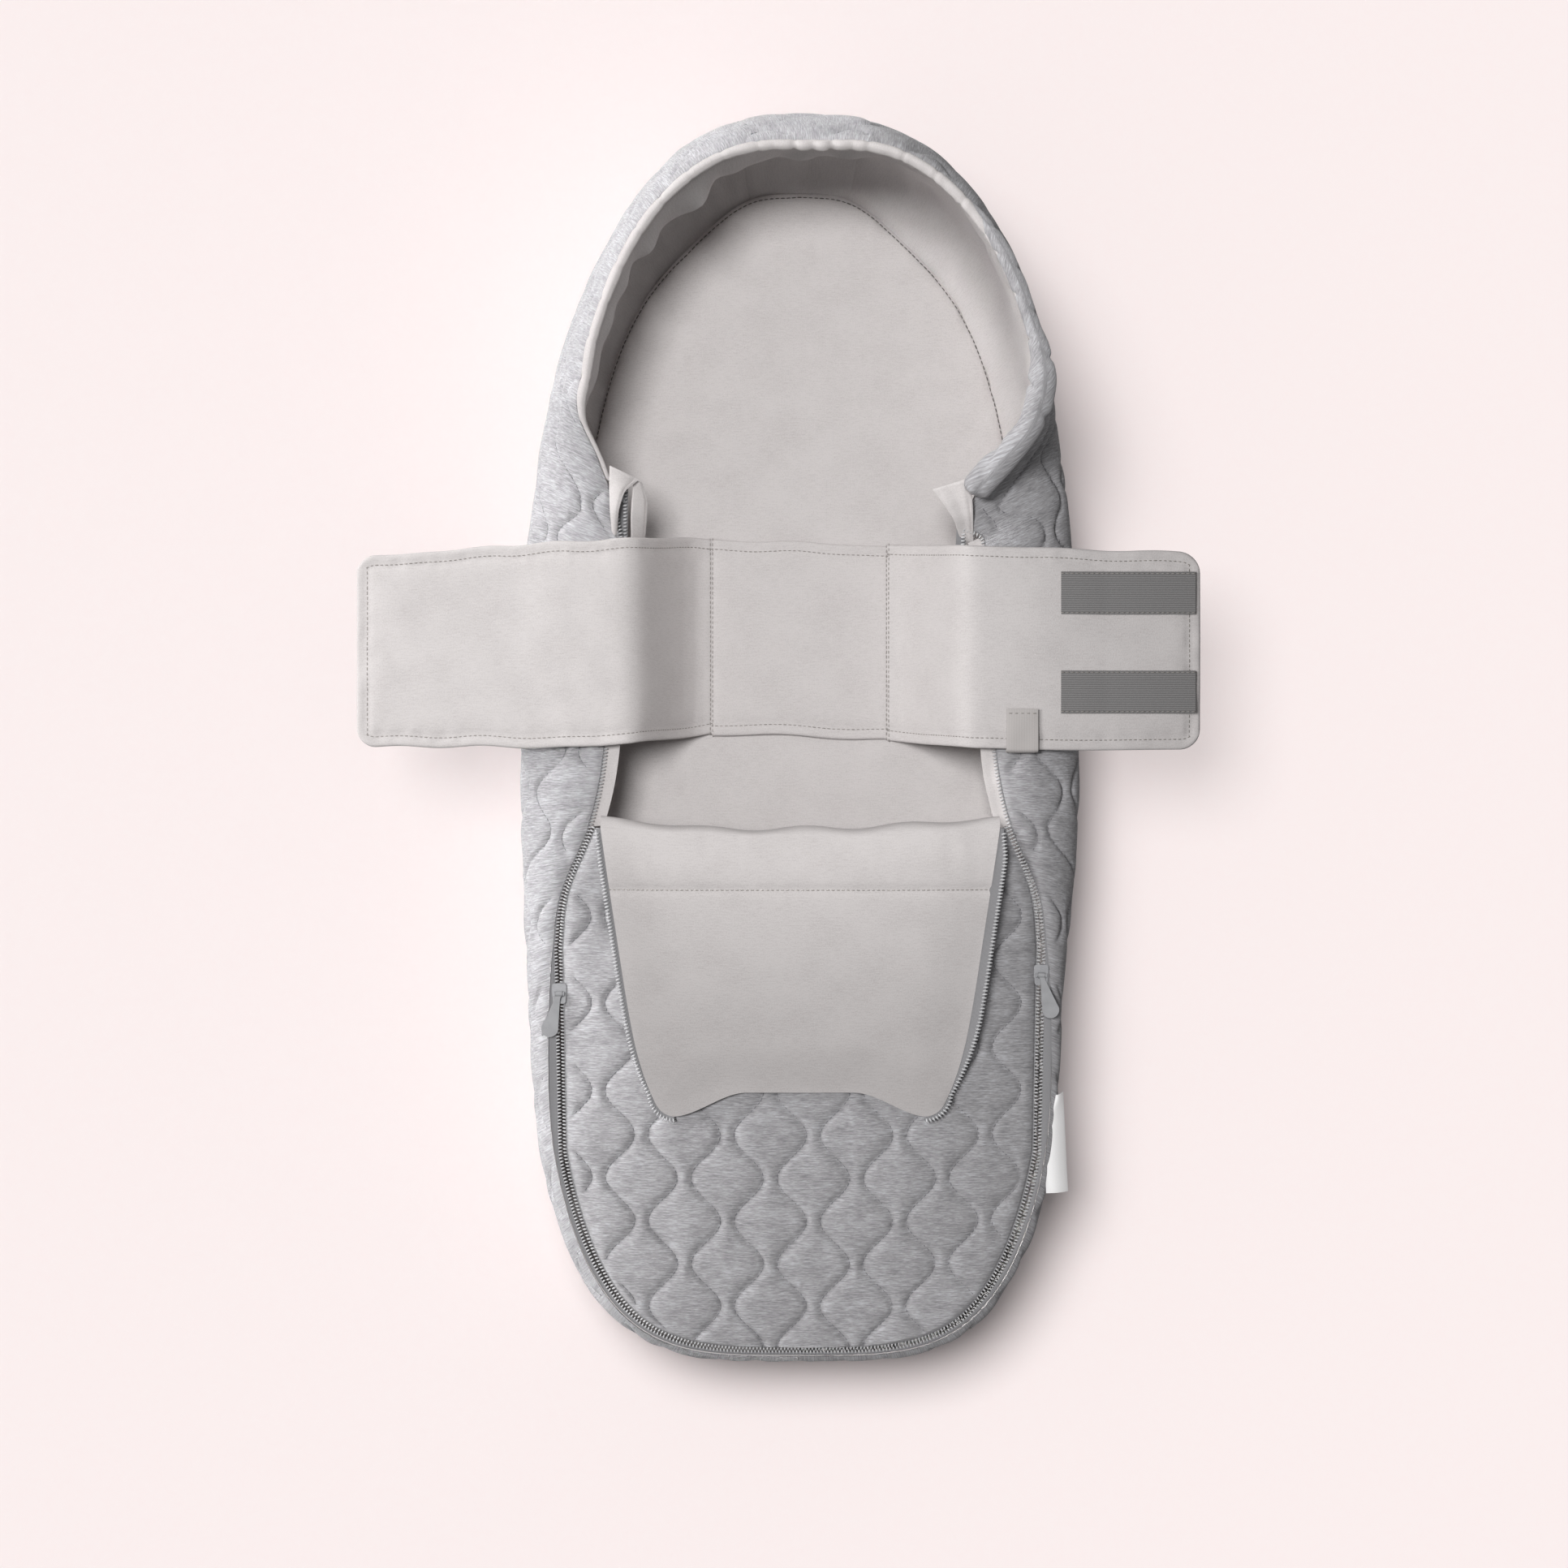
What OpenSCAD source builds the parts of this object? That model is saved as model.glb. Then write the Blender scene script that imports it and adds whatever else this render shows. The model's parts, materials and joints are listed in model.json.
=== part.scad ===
// Baby sleeping bag for a pram or a carry cot: a padded nest with a raised hood, a zipped front cover whose
// upper part is folded down, and a swaddle wrap whose two wings lie open over the side walls.
// Millimetres. +Y runs to the head, +Z up, origin under the middle of the bag on the face it lies on.

/* [Bag outline] */
// Width over the widest part of the side walls
bag_w = 333; // [318:1:350]
// Length over the hood and the foot
bag_l = 738; // [710:1:780]
// How far the widest station lies footwards of the middle
widest_back = 23; // [15:1:30]
// Squareness of the head end (2 is an ellipse)
head_square = 2.56; // [2.45:0.01:2.7]
// Squareness of the foot end (2 is an ellipse)
foot_square = 3.75; // [3.4:0.05:4.2]
// Share of the width lost towards the foot
foot_taper = 0.065; // [0.04:0.005:0.08]
// Sideways lean of the hood's rim
hood_lean = 7; // [0:1:9]

/* [Walls] */
// How far the wall's foot is tucked in under its bulge
tuck = 40; // [36:1:44]
// Height of the wall's widest point
bulge_z = 50; // [46:1:54]
// Height of the hood's rim seam
hood_h = 120; // [114:1:126]
// How far the hood's rim seam stands in from the bulge
hood_in = 20; // [16:1:24]
// Height of the wall along the opening
side_h = 81.6; // [80:0.2:83]
// How far the wall's edge stands in from the bulge at the throat
throat_in = 51; // [49:0.5:53]
// How far the wall's edge stands in beside the cover's fold
waist_in = 39; // [37:0.5:41]
// Height of the wall's edge along the slider's way
slider_h = 76; // [75:0.5:77]
// How far the wall's edge stands in beside the slider
slider_in = 14.5; // [13:0.5:16]
// Height of the wall's edge round the foot
foot_h = 62; // [59:1:65]
// How far the wall's edge stands in round the foot
foot_in = 1; // [0.5:0.5:3]
// Half angle of the hood's middle panel, seen from the bag's widest station
gusset_a = 13; // [10:0.5:16]

/* [Fabric layers] */
// Quilted outer fabric with its own thin wadding
shell_t = 3; // [2.4:0.1:3.4]
// Wadding of the walls and the cover
wadding_t = 5; // [4:0.1:5.6]
// Jersey lining
lining_t = 1.2; // [0.9:0.1:1.4]
// Height of the base's lying surface over the face that the bag rests on
base_h = 19; // [17:0.5:21]
// Share of the padding's thickness that is left at a sewn edge
edge_pinch = 0.4; // [0.36:0.02:0.5]

/* [Hood rim] */
// Outer radius of the rim's rolled casing
casing_r = 4.5; // [4.2:0.1:5]
// Fabric thickness of the casing
casing_t = 1; // [0.8:0.1:1.2]
// Width of the elastic in the casing
elastic_w = 4.6; // [3.6:0.1:5]
// Thickness of the elastic
elastic_t = 1.2; // [0.9:0.1:1.5]

/* [Zip] */
// Tape that shows between the seam and the coil
tape_w = 2.2; // [2:0.1:2.6]
// Tape thickness
tape_t = 0.8; // [0.6:0.1:1]
// Width of one half's coil
coil_w = 2; // [1.8:0.1:2.1]
// Height of the coil
coil_h = 2.2; // [1.8:0.1:2.4]
// Space between the two coils, which the slider's post passes through
coil_gap = 1.6; // [1.5:0.1:1.9]
// Width of the lining strip behind the open zip
guard_w = 9; // [7:0.5:10]
// Thickness of the lining strip behind the open zip
guard_t = 1.2; // [0.9:0.1:1.5]
// Distance of the left slider footwards of the bag's middle
slider_left_back = 149; // [145:1:153]
// Distance of the right slider footwards of the bag's middle
slider_right_back = 138; // [135:1:142]
// Length of the slider
slider_l = 12; // [10:0.5:13]
// Width of the slider
slider_w = 8.6; // [8:0.1:9]
// Thickness of each slider plate
slider_plate = 0.9; // [0.7:0.1:1.1]
// Free height between the slider's plates
slider_bore = 3.4; // [3.2:0.1:3.8]
// Length of the pull
pull_l = 26; // [22:1:30]
// Width of the pull
pull_w = 10; // [9:0.5:11]
// Thickness of the pull
pull_t = 2; // [1.8:0.1:2.2]
// Radius of the bar that the pull swings on
bar_r = 0.7; // [0.6:0.05:0.8]
// How far the resting pull points out over the wall
pull_yaw = 16; // [0:1:18]

/* [Cover] */
// Distance of the cover's fold footwards of the bag's middle
fold_back = 51; // [49:0.5:53]
// Height of the fold's hinge line
fold_h = 104; // [102:0.5:107]
// Drop of the cover from the fold's middle to its two ends
fold_drop = 4; // [2:0.5:6]
// Length of the folded part along the middle
flap_l = 155; // [140:1:165]
// Extra length of the folded part at its two corners
flap_horn = 13; // [6:1:16]
// Half width of the folded part at the fold
flap_half = 113; // [109:0.5:114]
// Half width lost towards the free edge
flap_narrowing = 25; // [20:1:32]

/* [Swaddle wrap] */
// Thickness of the wrap's three layers together
wrap_t = 2.4; // [1.8:0.3:3]
// Half width of the panel on the base
panel_half = 53; // [45:1:58]
// Distance of each wing's fold line from the middle
bend_x = 94; // [90:0.5:95]
// Distance of the wrap's lower edge footwards of the middle
wrap_back = 4; // [0:1:10]
// Distance of the wrap's upper edge headwards of the middle
wrap_front = 115; // [108:1:116]
// Reach of the left wing from the middle
left_reach = 261; // [250:1:266]
// Reach of the right wing from the middle
right_reach = 232; // [226:1:240]
// Corner radius of the wings
wing_r = 12; // [6:1:20]
// Width of a fastening strip
strip_w = 25; // [20:1:30]
// Length of a fastening strip
strip_l = 76; // [60:1:80]
// Thickness of a fastening strip
strip_t = 1.4; // [1:0.1:1.5]
// Distance between the middles of the two strips
strip_pitch = 58; // [50:1:64]
// Distance from a wing's end to its strips
strip_end = 3; // [2:0.5:6]
// Width of the folded ribbon tab
tab_w = 19; // [14:1:24]
// Length of the ribbon tab on the wing's face
tab_l = 24; // [18:1:28]
// Distance of the ribbon tab's middle from the bag's middle
tab_x = 130; // [122:1:140]
// Thickness of the ribbon
tab_t = 0.7; // [0.5:0.1:0.8]

/* [Label] */
// Length of the label along the seam
label_l = 60; // [40:1:66]
// Share of the wall's upper run that the label covers
label_reach = 0.1; // [0.08:0.01:0.14]
// Thickness of the label
label_t = 0.8; // [0.5:0.1:1]
// Distance of the label's middle from the foot's end
label_from_foot = 129; // [119:1:139]

/* [Hidden] */

gap = 0.3;                    // clearance between pieces that only lie beside each other
rest_gap = 0.6;               // clearance under a soft piece that lies on another
sewn_gap = 0.1;               // clearance between a tape and the coil sewn to it
half_w = bag_w/2;
mid_y = -widest_back;
head_len = bag_l/2 + widest_back;
foot_len = bag_l/2 - widest_back;
fold_y = -fold_back;

// Angles round the outline: 0 at the head, 90 at the right side, 180 at the foot, negative on the left.
rim_a = 60.5;                 // where the hood's casing ends
zip_top_a = 62.8;             // where the zip begins
throat_a = 66;                // where the wall levels out
fold_a = 95.2;                // beside the fold
way_a = 107;                  // start of the slider's straight way
way_end_a = 125;              // end of the slider's straight way
foot_a = 177;                 // where the cover's last cross section lies
roll_curl = 98;               // how far the wall curls over under the wings

// Share of the padding's thickness at a distance from an edge, where 0 is on the seam and 1 is clear of it.
function pinch(t) = edge_pinch + (1 - edge_pinch)*smooth(t);

// Depth of a layer boundary: 0 outer face, 1 under the shell, 2 under the wadding, 3 inner face.
padding_t = shell_t + wadding_t;
function depth(k, full) =
    k == 3 ? padding_t*full + lining_t : [0, shell_t, padding_t][k]*full;
function wall_full(v) = pinch((1 - v)/0.28);
edge_t = depth(3, edge_pinch);

// Height of the wall's edge that keeps the zip beside it level along the slider's way.
function level_edge(inset, curl) =
    let(out = (slider_h - bulge_z)/tan(curl), up = inset*sin(curl)/(1 - cos(curl)), share = up/norm([out, up]))
    slider_h - edge_t/2 + min(edge_t/2, (edge_t - tape_t)*share);

// The wall's top edge: [angle, how far in, height, how far the section curls over].
EDGE = [
    [0, hood_in + 2, hood_h, 62],
    [25, hood_in, hood_h + 1, 61],
    [47, hood_in, hood_h, 59],
    [54, hood_in + 3, hood_h - 3, 58],
    [58, hood_in + 10, hood_h - 12, 64],
    [rim_a, throat_in - 8, side_h + 12, 82],
    [zip_top_a, throat_in, side_h + 4, 93],
    [throat_a, throat_in + 1, side_h + 1, 97],
    [72, throat_in + 0.5, side_h, roll_curl],
    [87, throat_in - 2, side_h, 97],
    [fold_a, waist_in, side_h - 0.4, 92],
    [102, slider_in + 6, side_h - 3, 74],
    [way_a, slider_in, slider_h, 62],
    [111.5, slider_in - 3.8, level_edge(slider_in - 3.8, 57), 57],
    [116, slider_in - 7, level_edge(slider_in - 7, 54), 54],
    [120.5, foot_in + 3.4, level_edge(foot_in + 3.4, 50), 50],
    [way_end_a, foot_in + 1.5, level_edge(foot_in + 1.5, 46), 46],
    [138, foot_in + 0.5, foot_h + 6, 30],
    [180, foot_in, foot_h, 20]
];

// Colours
quilt_grey = "#b4b4b8";
lining_ivory = "#d9d6d4";
wadding_white = "#f2f2ee";
tape_grey = "#a3a3a5";
coil_grey = "#8a8a8c";
strip_grey = "#949393";
loop_grey = "#a8a6a6";
enamel_grey = "#9c9c9e";
rubber_grey = "#97979a";
label_white = "#f1f0ee";

// ---- Numbers that the pieces share ----

// Slope of column i of the EDGE table at row k, level beside a level stretch and at a turning point.
function edge_slope(k, i) =
    k == 0 || k == len(EDGE) - 1 ? 0
    : (EDGE[k + 1][i] - EDGE[k][i])*(EDGE[k][i] - EDGE[k - 1][i]) <= 0 ? 0
    : (EDGE[k + 1][i] - EDGE[k - 1][i])/(EDGE[k + 1][0] - EDGE[k - 1][0]);

// Column i of the EDGE table at an angle, as a smooth curve through its rows.
function edge_value(angle, i) =
    let(s = angle > 180 ? 360 - angle : abs(angle),
        k = max([for (j = [0 : len(EDGE) - 2]) if (EDGE[j][0] <= s) j]),
        w = EDGE[k + 1][0] - EDGE[k][0],
        t = (s - EDGE[k][0])/w)
    EDGE[k][i]*(1 + 2*t)*pow(1 - t, 2) + EDGE[k + 1][i]*t*t*(3 - 2*t)
        + edge_slope(k, i)*w*t*pow(1 - t, 2) - edge_slope(k + 1, i)*w*t*t*(1 - t);

function smooth(t) = let(c = min(max(t, 0), 1)) c*c*(3 - 2*c);

// Point of the bag's outline, drawn in by inset, at height z. The hood leans to one side above the bulge.
function outline(angle, inset, z) =
    let(cx = sin(angle), cy = cos(angle),
        n = cy >= 0 ? head_square : foot_square,
        s = pow(pow(abs(cx), n) + pow(abs(cy), n), -1/n),
        b = (cy >= 0 ? head_len : foot_len) - inset,
        taper = 1 - foot_taper*max(0, -cy*s),
        hood = cy >= 0 ? smooth(cy*s*2.2 - 0.5) : 0,
        lean = hood_lean*hood*max(0, z - bulge_z)/(hood_h - bulge_z))
    [(half_w - inset)*cx*s*taper + lean, mid_y + b*cy*s, z];

// Wall section at an angle: [inset, z, inward normal's two parts] at the share v of its way up.
function section(angle, v) =
    let(curl = edge_value(angle, 3),
        al = -90 + v*(90 + curl),
        reach = al < 0 ? tuck : edge_value(angle, 1)/(1 - cos(curl)),
        rise = al < 0 ? bulge_z : (edge_value(angle, 2) - bulge_z)/sin(curl),
        nx = rise*cos(al), nz = -reach*sin(al),
        m = sqrt(nx*nx + nz*nz))
    [reach*(1 - cos(al)), bulge_z + rise*sin(al), nx/m, nz/m];

// Point of the wall at an angle, share v up, and depth d under the outer face.
function wall(angle, v, d) =
    let(p = section(angle, v))
    outline(angle, p[0] + d*p[2], p[1] + d*p[3]);

// Evenly spread values from a to b, at most step apart.
function spread(a, b, step) =
    let(n = max(1, ceil(abs(b - a)/step - 0.001)))
    [for (i = [0 : n]) a + (b - a)*i/n];

// Angles at which the walls have a section, from the head to the foot, closer where the rim turns in.
function stretch(a, b, step) = [for (t = spread(a, b, step)) if (t < b - 0.01) t];
STATIONS = concat(stretch(0, gusset_a, 6.5), stretch(gusset_a, 51, 6.4), stretch(51, rim_a, 2.4),
    stretch(rim_a, zip_top_a, 2.4), stretch(zip_top_a, throat_a, 2.4), stretch(throat_a, fold_a, 6),
    stretch(fold_a, way_a, 6), stretch(way_a, way_end_a, 4.6), stretch(way_end_a, foot_a, 5.3), [foot_a, 180]);
function stations(a0, a1) =
    concat([a0], [for (a = STATIONS) if (a > a0 + 0.5 && a < a1 - 0.5) a], [a1]);
function turned(angles) = [for (i = [len(angles) - 1 : -1 : 0]) -angles[i]];
function beyond(angles) = [for (i = [len(angles) - 2 : -1 : 0]) 360 - angles[i]];
function left_side(a0, a1) = turned(stations(a0, a1));
function round_foot(a0) = concat(stations(a0, 180), beyond(stations(a0, 180)));

// ---- The zip's own frame, along the wall's top edge ----

// Lift of the zip's plane: level along the opening and the slider's way, tilted round the foot.
function zip_lay(angle) =
    let(s = angle > 180 ? 360 - angle : abs(angle)) 42*smooth((s - way_end_a)/25);

// Where the zip is sewn to the wall's end face, level under the edge's top: [inset, z, depth].
function seam(angle) =
    let(p = section(angle, 1), d = min(edge_t/2/abs(p[3]), edge_t - tape_t)) [p[0] + p[2]*d, p[1] + p[3]*d, d];

// Point beside the wall's edge: e past the seam in the zip's plane, h over that plane.
function beside(angle, e, h) =
    let(p = seam(angle), lay = zip_lay(angle))
    outline(angle, p[0] + e*cos(lay) - h*sin(lay), p[1] + e*sin(lay) + h*cos(lay));

// The coils are straight along the slider's way, between two points of the offset edge.
coil_at = tape_w + coil_w + coil_gap/2;
way_z = slider_h - edge_t/2;
way_start = outline(way_a, seam(way_a)[0] + coil_at, way_z);
way_end = outline(way_end_a, seam(way_end_a)[0] + coil_at, way_z);
way_slope = (way_end[0] - way_start[0])/(way_end[1] - way_start[1]);

// Distance from the seam to the middle of the chain.
function chain(angle) =
    let(s = angle > 180 ? 360 - angle : abs(angle))
    s <= way_a || s >= way_end_a ? coil_at
    : let(o = outline(s, 0, 0), q = outline(s, 1, 0), ax = o[0] - q[0], ay = o[1] - q[1])
        (o[0] - way_start[0] - way_slope*(o[1] - way_start[1]))/(ax - way_slope*ay) - seam(s)[0];

function coil_outer(angle) = chain(angle) - coil_gap/2 - coil_w;
function coil_inner(angle) = chain(angle) + coil_gap/2 + coil_w;

// ---- Solids skinned over rows of points ----

// Each section is a ribbon: points along one face, then as many back along the other.
module ribbon_solid(sections) {
    m = len(sections);
    n = len(sections[0]);
    sides = [for (i = [0 : m - 2], j = [0 : n - 1]) each
        let(a = i*n + j, b = i*n + (j + 1) % n, c = a + n, d = b + n)
        j < n/2 ? [[a, b, d], [a, d, c]] : [[a, b, c], [b, d, c]]];
    ends = [for (j = [0 : n/2 - 2], o = [0, (m - 1)*n]) each
        let(a = o + j, b = o + j + 1, c = o + n - 2 - j, d = o + n - 1 - j)
        o == 0 ? [[c, b, a], [d, c, a]] : [[a, b, c], [a, c, d]]];
    polyhedron(points = [for (s = sections) each s], faces = concat(sides, ends), convexity = 10);
}

// Closed rings stacked into one solid, with flat ends.
module ring_solid(rings) {
    m = len(rings);
    n = len(rings[0]);
    sides = [for (i = [0 : m - 2], j = [0 : n - 1]) each
        let(a = i*n + j, b = i*n + (j + 1) % n, c = a + n, d = b + n) [[a, b, d], [a, d, c]]];
    polyhedron(
        points = [for (r = rings) each r],
        faces = concat(sides, [[for (j = [n - 1 : -1 : 0]) j], [for (j = [0 : n - 1]) (m - 1)*n + j]]),
        convexity = 10);
}

// One layer of the wall over the given angles, from boundary k to boundary k + 1.
ROWS = [0, 0.13, 0.27, 0.41, 0.54, 0.67, 0.78, 0.89, 1];
module wall_layer(angles, k) {
    ribbon_solid([for (a = angles) concat(
        [for (v = ROWS) wall(a, v, depth(k + 1, wall_full(v)))],
        [for (i = [len(ROWS) - 1 : -1 : 0]) wall(a, ROWS[i], depth(k, wall_full(ROWS[i])))])]);
}

// ---- Base ----

AROUND = concat(turned([for (a = STATIONS) if (a > 0) a]), [for (a = STATIONS) if (a < 180) a]);
function base_ring(inset, z) = [for (a = AROUND) outline(a, inset, z)];

// The pad's rounded shoulder: [further in than the tuck, share of the rise to the lying surface].
SHOULDER = [[0, 0], [3, 0.42], [8, 0.74], [16, 0.93], [30, 1]];
function shoulder_z(share) = depth(3, 1) + (base_h - depth(3, 1))*share;

module back_panel() {
    color(quilt_grey) ring_solid([base_ring(tuck, 0), base_ring(tuck, shell_t)]);
}

module base_pad() {
    color(wadding_white) ring_solid(concat([base_ring(tuck, shell_t)],
        [for (p = SHOULDER) base_ring(tuck + p[0], shoulder_z(p[1]) - lining_t)]));
}

// The lining's underside is the pad's top, point for point.
module base_lining() {
    color(lining_ivory) difference() {
        ring_solid(concat([base_ring(tuck, depth(2, 1))],
            [for (p = SHOULDER) base_ring(tuck + p[0], shoulder_z(p[1]))]));
        ring_solid(concat([base_ring(tuck, shell_t)],
            [for (p = SHOULDER) base_ring(tuck + p[0], shoulder_z(p[1]) - lining_t)]));
    }
}

// ---- Walls and hood ----

module side_shell_left() { color(quilt_grey) wall_layer(left_side(gusset_a, 180), 0); }
module side_shell_right() { color(quilt_grey) wall_layer(stations(gusset_a, 180), 0); }
module hood_shell() { color(quilt_grey) wall_layer(spread(-gusset_a, gusset_a, 6.5), 0); }
module side_wadding_left() { color(wadding_white) wall_layer(left_side(gusset_a, 180), 1); }
module side_wadding_right() { color(wadding_white) wall_layer(stations(gusset_a, 180), 1); }
module hood_wadding() { color(wadding_white) wall_layer(spread(-gusset_a, gusset_a, 6.5), 1); }
module side_lining_left() { color(lining_ivory) wall_layer(left_side(gusset_a, 180), 2); }
module side_lining_right() { color(lining_ivory) wall_layer(stations(gusset_a, 180), 2); }
module hood_lining() { color(lining_ivory) wall_layer(spread(-gusset_a, gusset_a, 6.5), 2); }

// Rolled casing along the hood's rim, just past the rim seam.
RIM = concat(left_side(0, rim_a), [for (a = stations(0, rim_a)) if (a > 0) a]);
function rim_point(angle, r, turn) =
    let(p = section(angle, 1), c = casing_r + gap, q = seam(angle),
        x = r*cos(turn), y = r*sin(turn))
    outline(angle, q[0] - (c + x)*p[3] + y*p[2], q[1] + (c + x)*p[2] + y*p[3]);

module rim_tube(r) {
    ring_solid([for (a = RIM) [for (k = [9 : -1 : 0]) rim_point(a, r, 36*k)]]);
}

module rim_casing() {
    color(lining_ivory) difference() {
        rim_tube(casing_r);
        rim_tube(casing_r - casing_t);
    }
}

module rim_elastic() {
    corner = [elastic_w/2, elastic_t/2];
    color("white") ring_solid([for (a = RIM) [for (s = [[1, 1], [1, -1], [-1, -1], [-1, 1]])
        rim_point(a, norm(corner), atan2(s[1]*corner[0], s[0]*corner[1]))]]);
}

// ---- Zip on the walls ----

module zip_strip(angles, e0, e1, h0, h1) {
    ribbon_solid([for (i = [0 : len(angles) - 1]) let(a = angles[i])
        [beside(a, e0[i], h0), beside(a, e1[i], h0), beside(a, e1[i], h1), beside(a, e0[i], h1)]]);
}

module zip_tape_body() {
    color(tape_grey) ribbon_solid([for (a = round_foot(zip_top_a))
        let(p = section(a, 1), e = coil_outer(a) - sewn_gap,
            q = seam(a) + sewn_gap*[-p[3], p[2], 0], t = tape_t/2*[p[2], p[3]])
        [outline(a, q[0] + t[0], q[1] + t[1]), beside(a, e, -tape_t/2), beside(a, e, tape_t/2),
         outline(a, q[0] - t[0], q[1] - t[1])]]);
}

module zip_coil_body() {
    angles = round_foot(zip_top_a);
    color(coil_grey) zip_strip(angles, [for (a = angles) coil_outer(a)],
        [for (a = angles) coil_outer(a) + coil_w], -coil_h/2, coil_h/2);
}

module zip_stops_body() {
    stop_l = 0.9;             // in degrees round the outline
    color(enamel_grey) for (o = [zip_top_a - stop_l, 360 - zip_top_a]) {
        angles = [o, o + stop_l];
        zip_strip(angles, [for (a = angles) coil_outer(zip_top_a) - 0.5],
            [for (a = angles) coil_outer(zip_top_a) + coil_w], -coil_h/2 - gap, coil_h/2 + gap);
    }
}

module zip_guard(angles) {
    color(lining_ivory) zip_strip(angles, [for (a = angles) 2*gap], [for (a = angles) guard_w],
        -coil_h/2 - 2*gap - guard_t, -coil_h/2 - 2*gap);
}
module zip_guard_left() { zip_guard(left_side(zip_top_a, fold_a)); }
module zip_guard_right() { zip_guard(stations(zip_top_a, fold_a)); }

// A folded tab of lining over the zip's top end.
garage_t = 2;
module zip_garage(angles) {
    color(lining_ivory) zip_strip(angles, [for (a = angles) coil_outer(a) - 1.5], [for (a = angles) guard_w + 4],
        coil_h/2 + 2*gap, coil_h/2 + 2*gap + garage_t);
}
module zip_garage_left() { zip_garage(left_side(rim_a, throat_a)); }
module zip_garage_right() { zip_garage(stations(rim_a, throat_a)); }

// ---- Cover over the feet ----

// Share of the way from the slider up to the fold, where the zip is open: 0 at the slider, 1 at the fold.
function slider_back(side) = side < 0 ? slider_left_back : slider_right_back;
function parting(side) = slider_back(side) - slider_l/2 - 1;
function opened(side, y) = smooth((y + parting(side))/(fold_y + parting(side)));

// The cover's edge on one side, e past the seam and h over the zip's plane: it rises from the slider to the fold.
fold_edge_z = fold_h - fold_drop - edge_t/2;
function cover_edge(side, angle, e, h) =
    let(p = beside(side*angle, e, h), y = angle == fold_a ? fold_y : p[1], up = opened(side, y))
    [p[0], y, p[2] + (fold_edge_z - beside(fold_a, 0, 0)[2])*up];

// Angle at which a line in from the outline by inset passes a distance footwards of the middle.
function angle_at(back, inset) =
    let(b = (back + mid_y)/(foot_len - inset), a = pow(1 - pow(b, foot_square), 1/foot_square)) 90 + atan2(b, a);

// The cover's cross sections: those of the walls, and one where each slider parts the zip.
part_a = [for (side = [1, -1]) angle_at(parting(side), slider_in + coil_at)];
COVER = concat(
    [for (a = stations(fold_a, way_a)) if (a < part_a[0] - 2 && a < way_a) a], part_a,
    [for (a = stations(way_a, foot_a)) if (a > part_a[1] + 2) a]);
function cover_side(side, angle) = cover_edge(side, angle, coil_inner(angle) + tape_w, 0);

foot_y = cover_side(1, foot_a)[1];
foot_z = cover_side(1, foot_a)[2] + edge_t/2;
function crown(y) =
    foot_z + (fold_h - foot_z)*pow(1 - pow(min(max((fold_y - y)/(fold_y - foot_y), 0), 1), 2.2), 0.9);

// Top of the cover at share u of the way from its middle to an edge whose top is at height low.
function cover_top(y, u, low) = low + (crown(y) - low)*(1 - pow(abs(u), 2.6));

SPAN = [-1, -0.93, -0.82, -0.64, -0.36, 0, 0.36, 0.64, 0.82, 0.93, 1];
function span_full(u) = pinch((1 - abs(u))/0.16);
function cover_point(angle, u, k) =
    let(l = cover_side(-1, angle), r = cover_side(1, angle), s = u < 0 ? l : r,
        y = l[1] + (r[1] - l[1])*(u + 1)/2,
        full = min(span_full(u), pinch((foot_a - angle)/16)))
    [s[0]*abs(u), y, cover_top(y, u, s[2] + edge_t/2) - depth(k, full)];

module cover_layer(k) {
    ribbon_solid([for (a = COVER) concat(
        [for (u = SPAN) cover_point(a, u, k)],
        [for (i = [len(SPAN) - 1 : -1 : 0]) cover_point(a, SPAN[i], k + 1)])]);
}

module cover_shell() { color(quilt_grey) cover_layer(0); }
module cover_wadding() { color(wadding_white) cover_layer(1); }
module cover_lining() { color(lining_ivory) cover_layer(2); }

// One strip of the cover's zip, from e0 to e1 past the coil, h thick, on both sides.
module cover_strip(e0, e1, h) {
    for (side = [-1, 1]) {
        angles = side > 0 ? COVER : [for (i = [len(COVER) - 1 : -1 : 0]) COVER[i]];
        ribbon_solid([for (a = angles) let(c = coil_inner(a))
            [cover_edge(side, a, c + e0, -h/2), cover_edge(side, a, c + e1, -h/2),
             cover_edge(side, a, c + e1, h/2), cover_edge(side, a, c + e0, h/2)]]);
    }
}
module zip_tape_cover() { color(tape_grey) cover_strip(sewn_gap, tape_w - gap, tape_t); }
module zip_coil_cover() { color(coil_grey) cover_strip(-coil_w, 0, coil_h); }

// ---- Folded part of the cover, lying on it with the lining up ----

LEFT_EDGE = [for (a = COVER) cover_side(-1, a)];
RIGHT_EDGE = [for (a = COVER) cover_side(1, a)];
function cover_height(x, y) =
    let(edge = x < 0 ? LEFT_EDGE : RIGHT_EDGE,
        w = lookup(y, [for (p = edge) [p[1], abs(p[0])]]),
        low = lookup(y, [for (p = edge) [p[1], p[2]]]) + edge_t/2)
    cover_top(y, abs(x)/w, low);

function flap_width(v) = flap_half - flap_narrowing*pow(v, 1.3);
function flap_y(u, v) = fold_y - rest_gap - v*(flap_l + flap_horn*pow(abs(u), 4));
function flap_under(x, y) = cover_height(x, y) + rest_gap;
function flap_point(u, v, k) =
    let(x = u*flap_width(v), y = flap_y(u, v), full = min(span_full(u), pinch((1 - v)/0.12)))
    [x, y, flap_under(x, y) + depth(k, full)];

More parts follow.
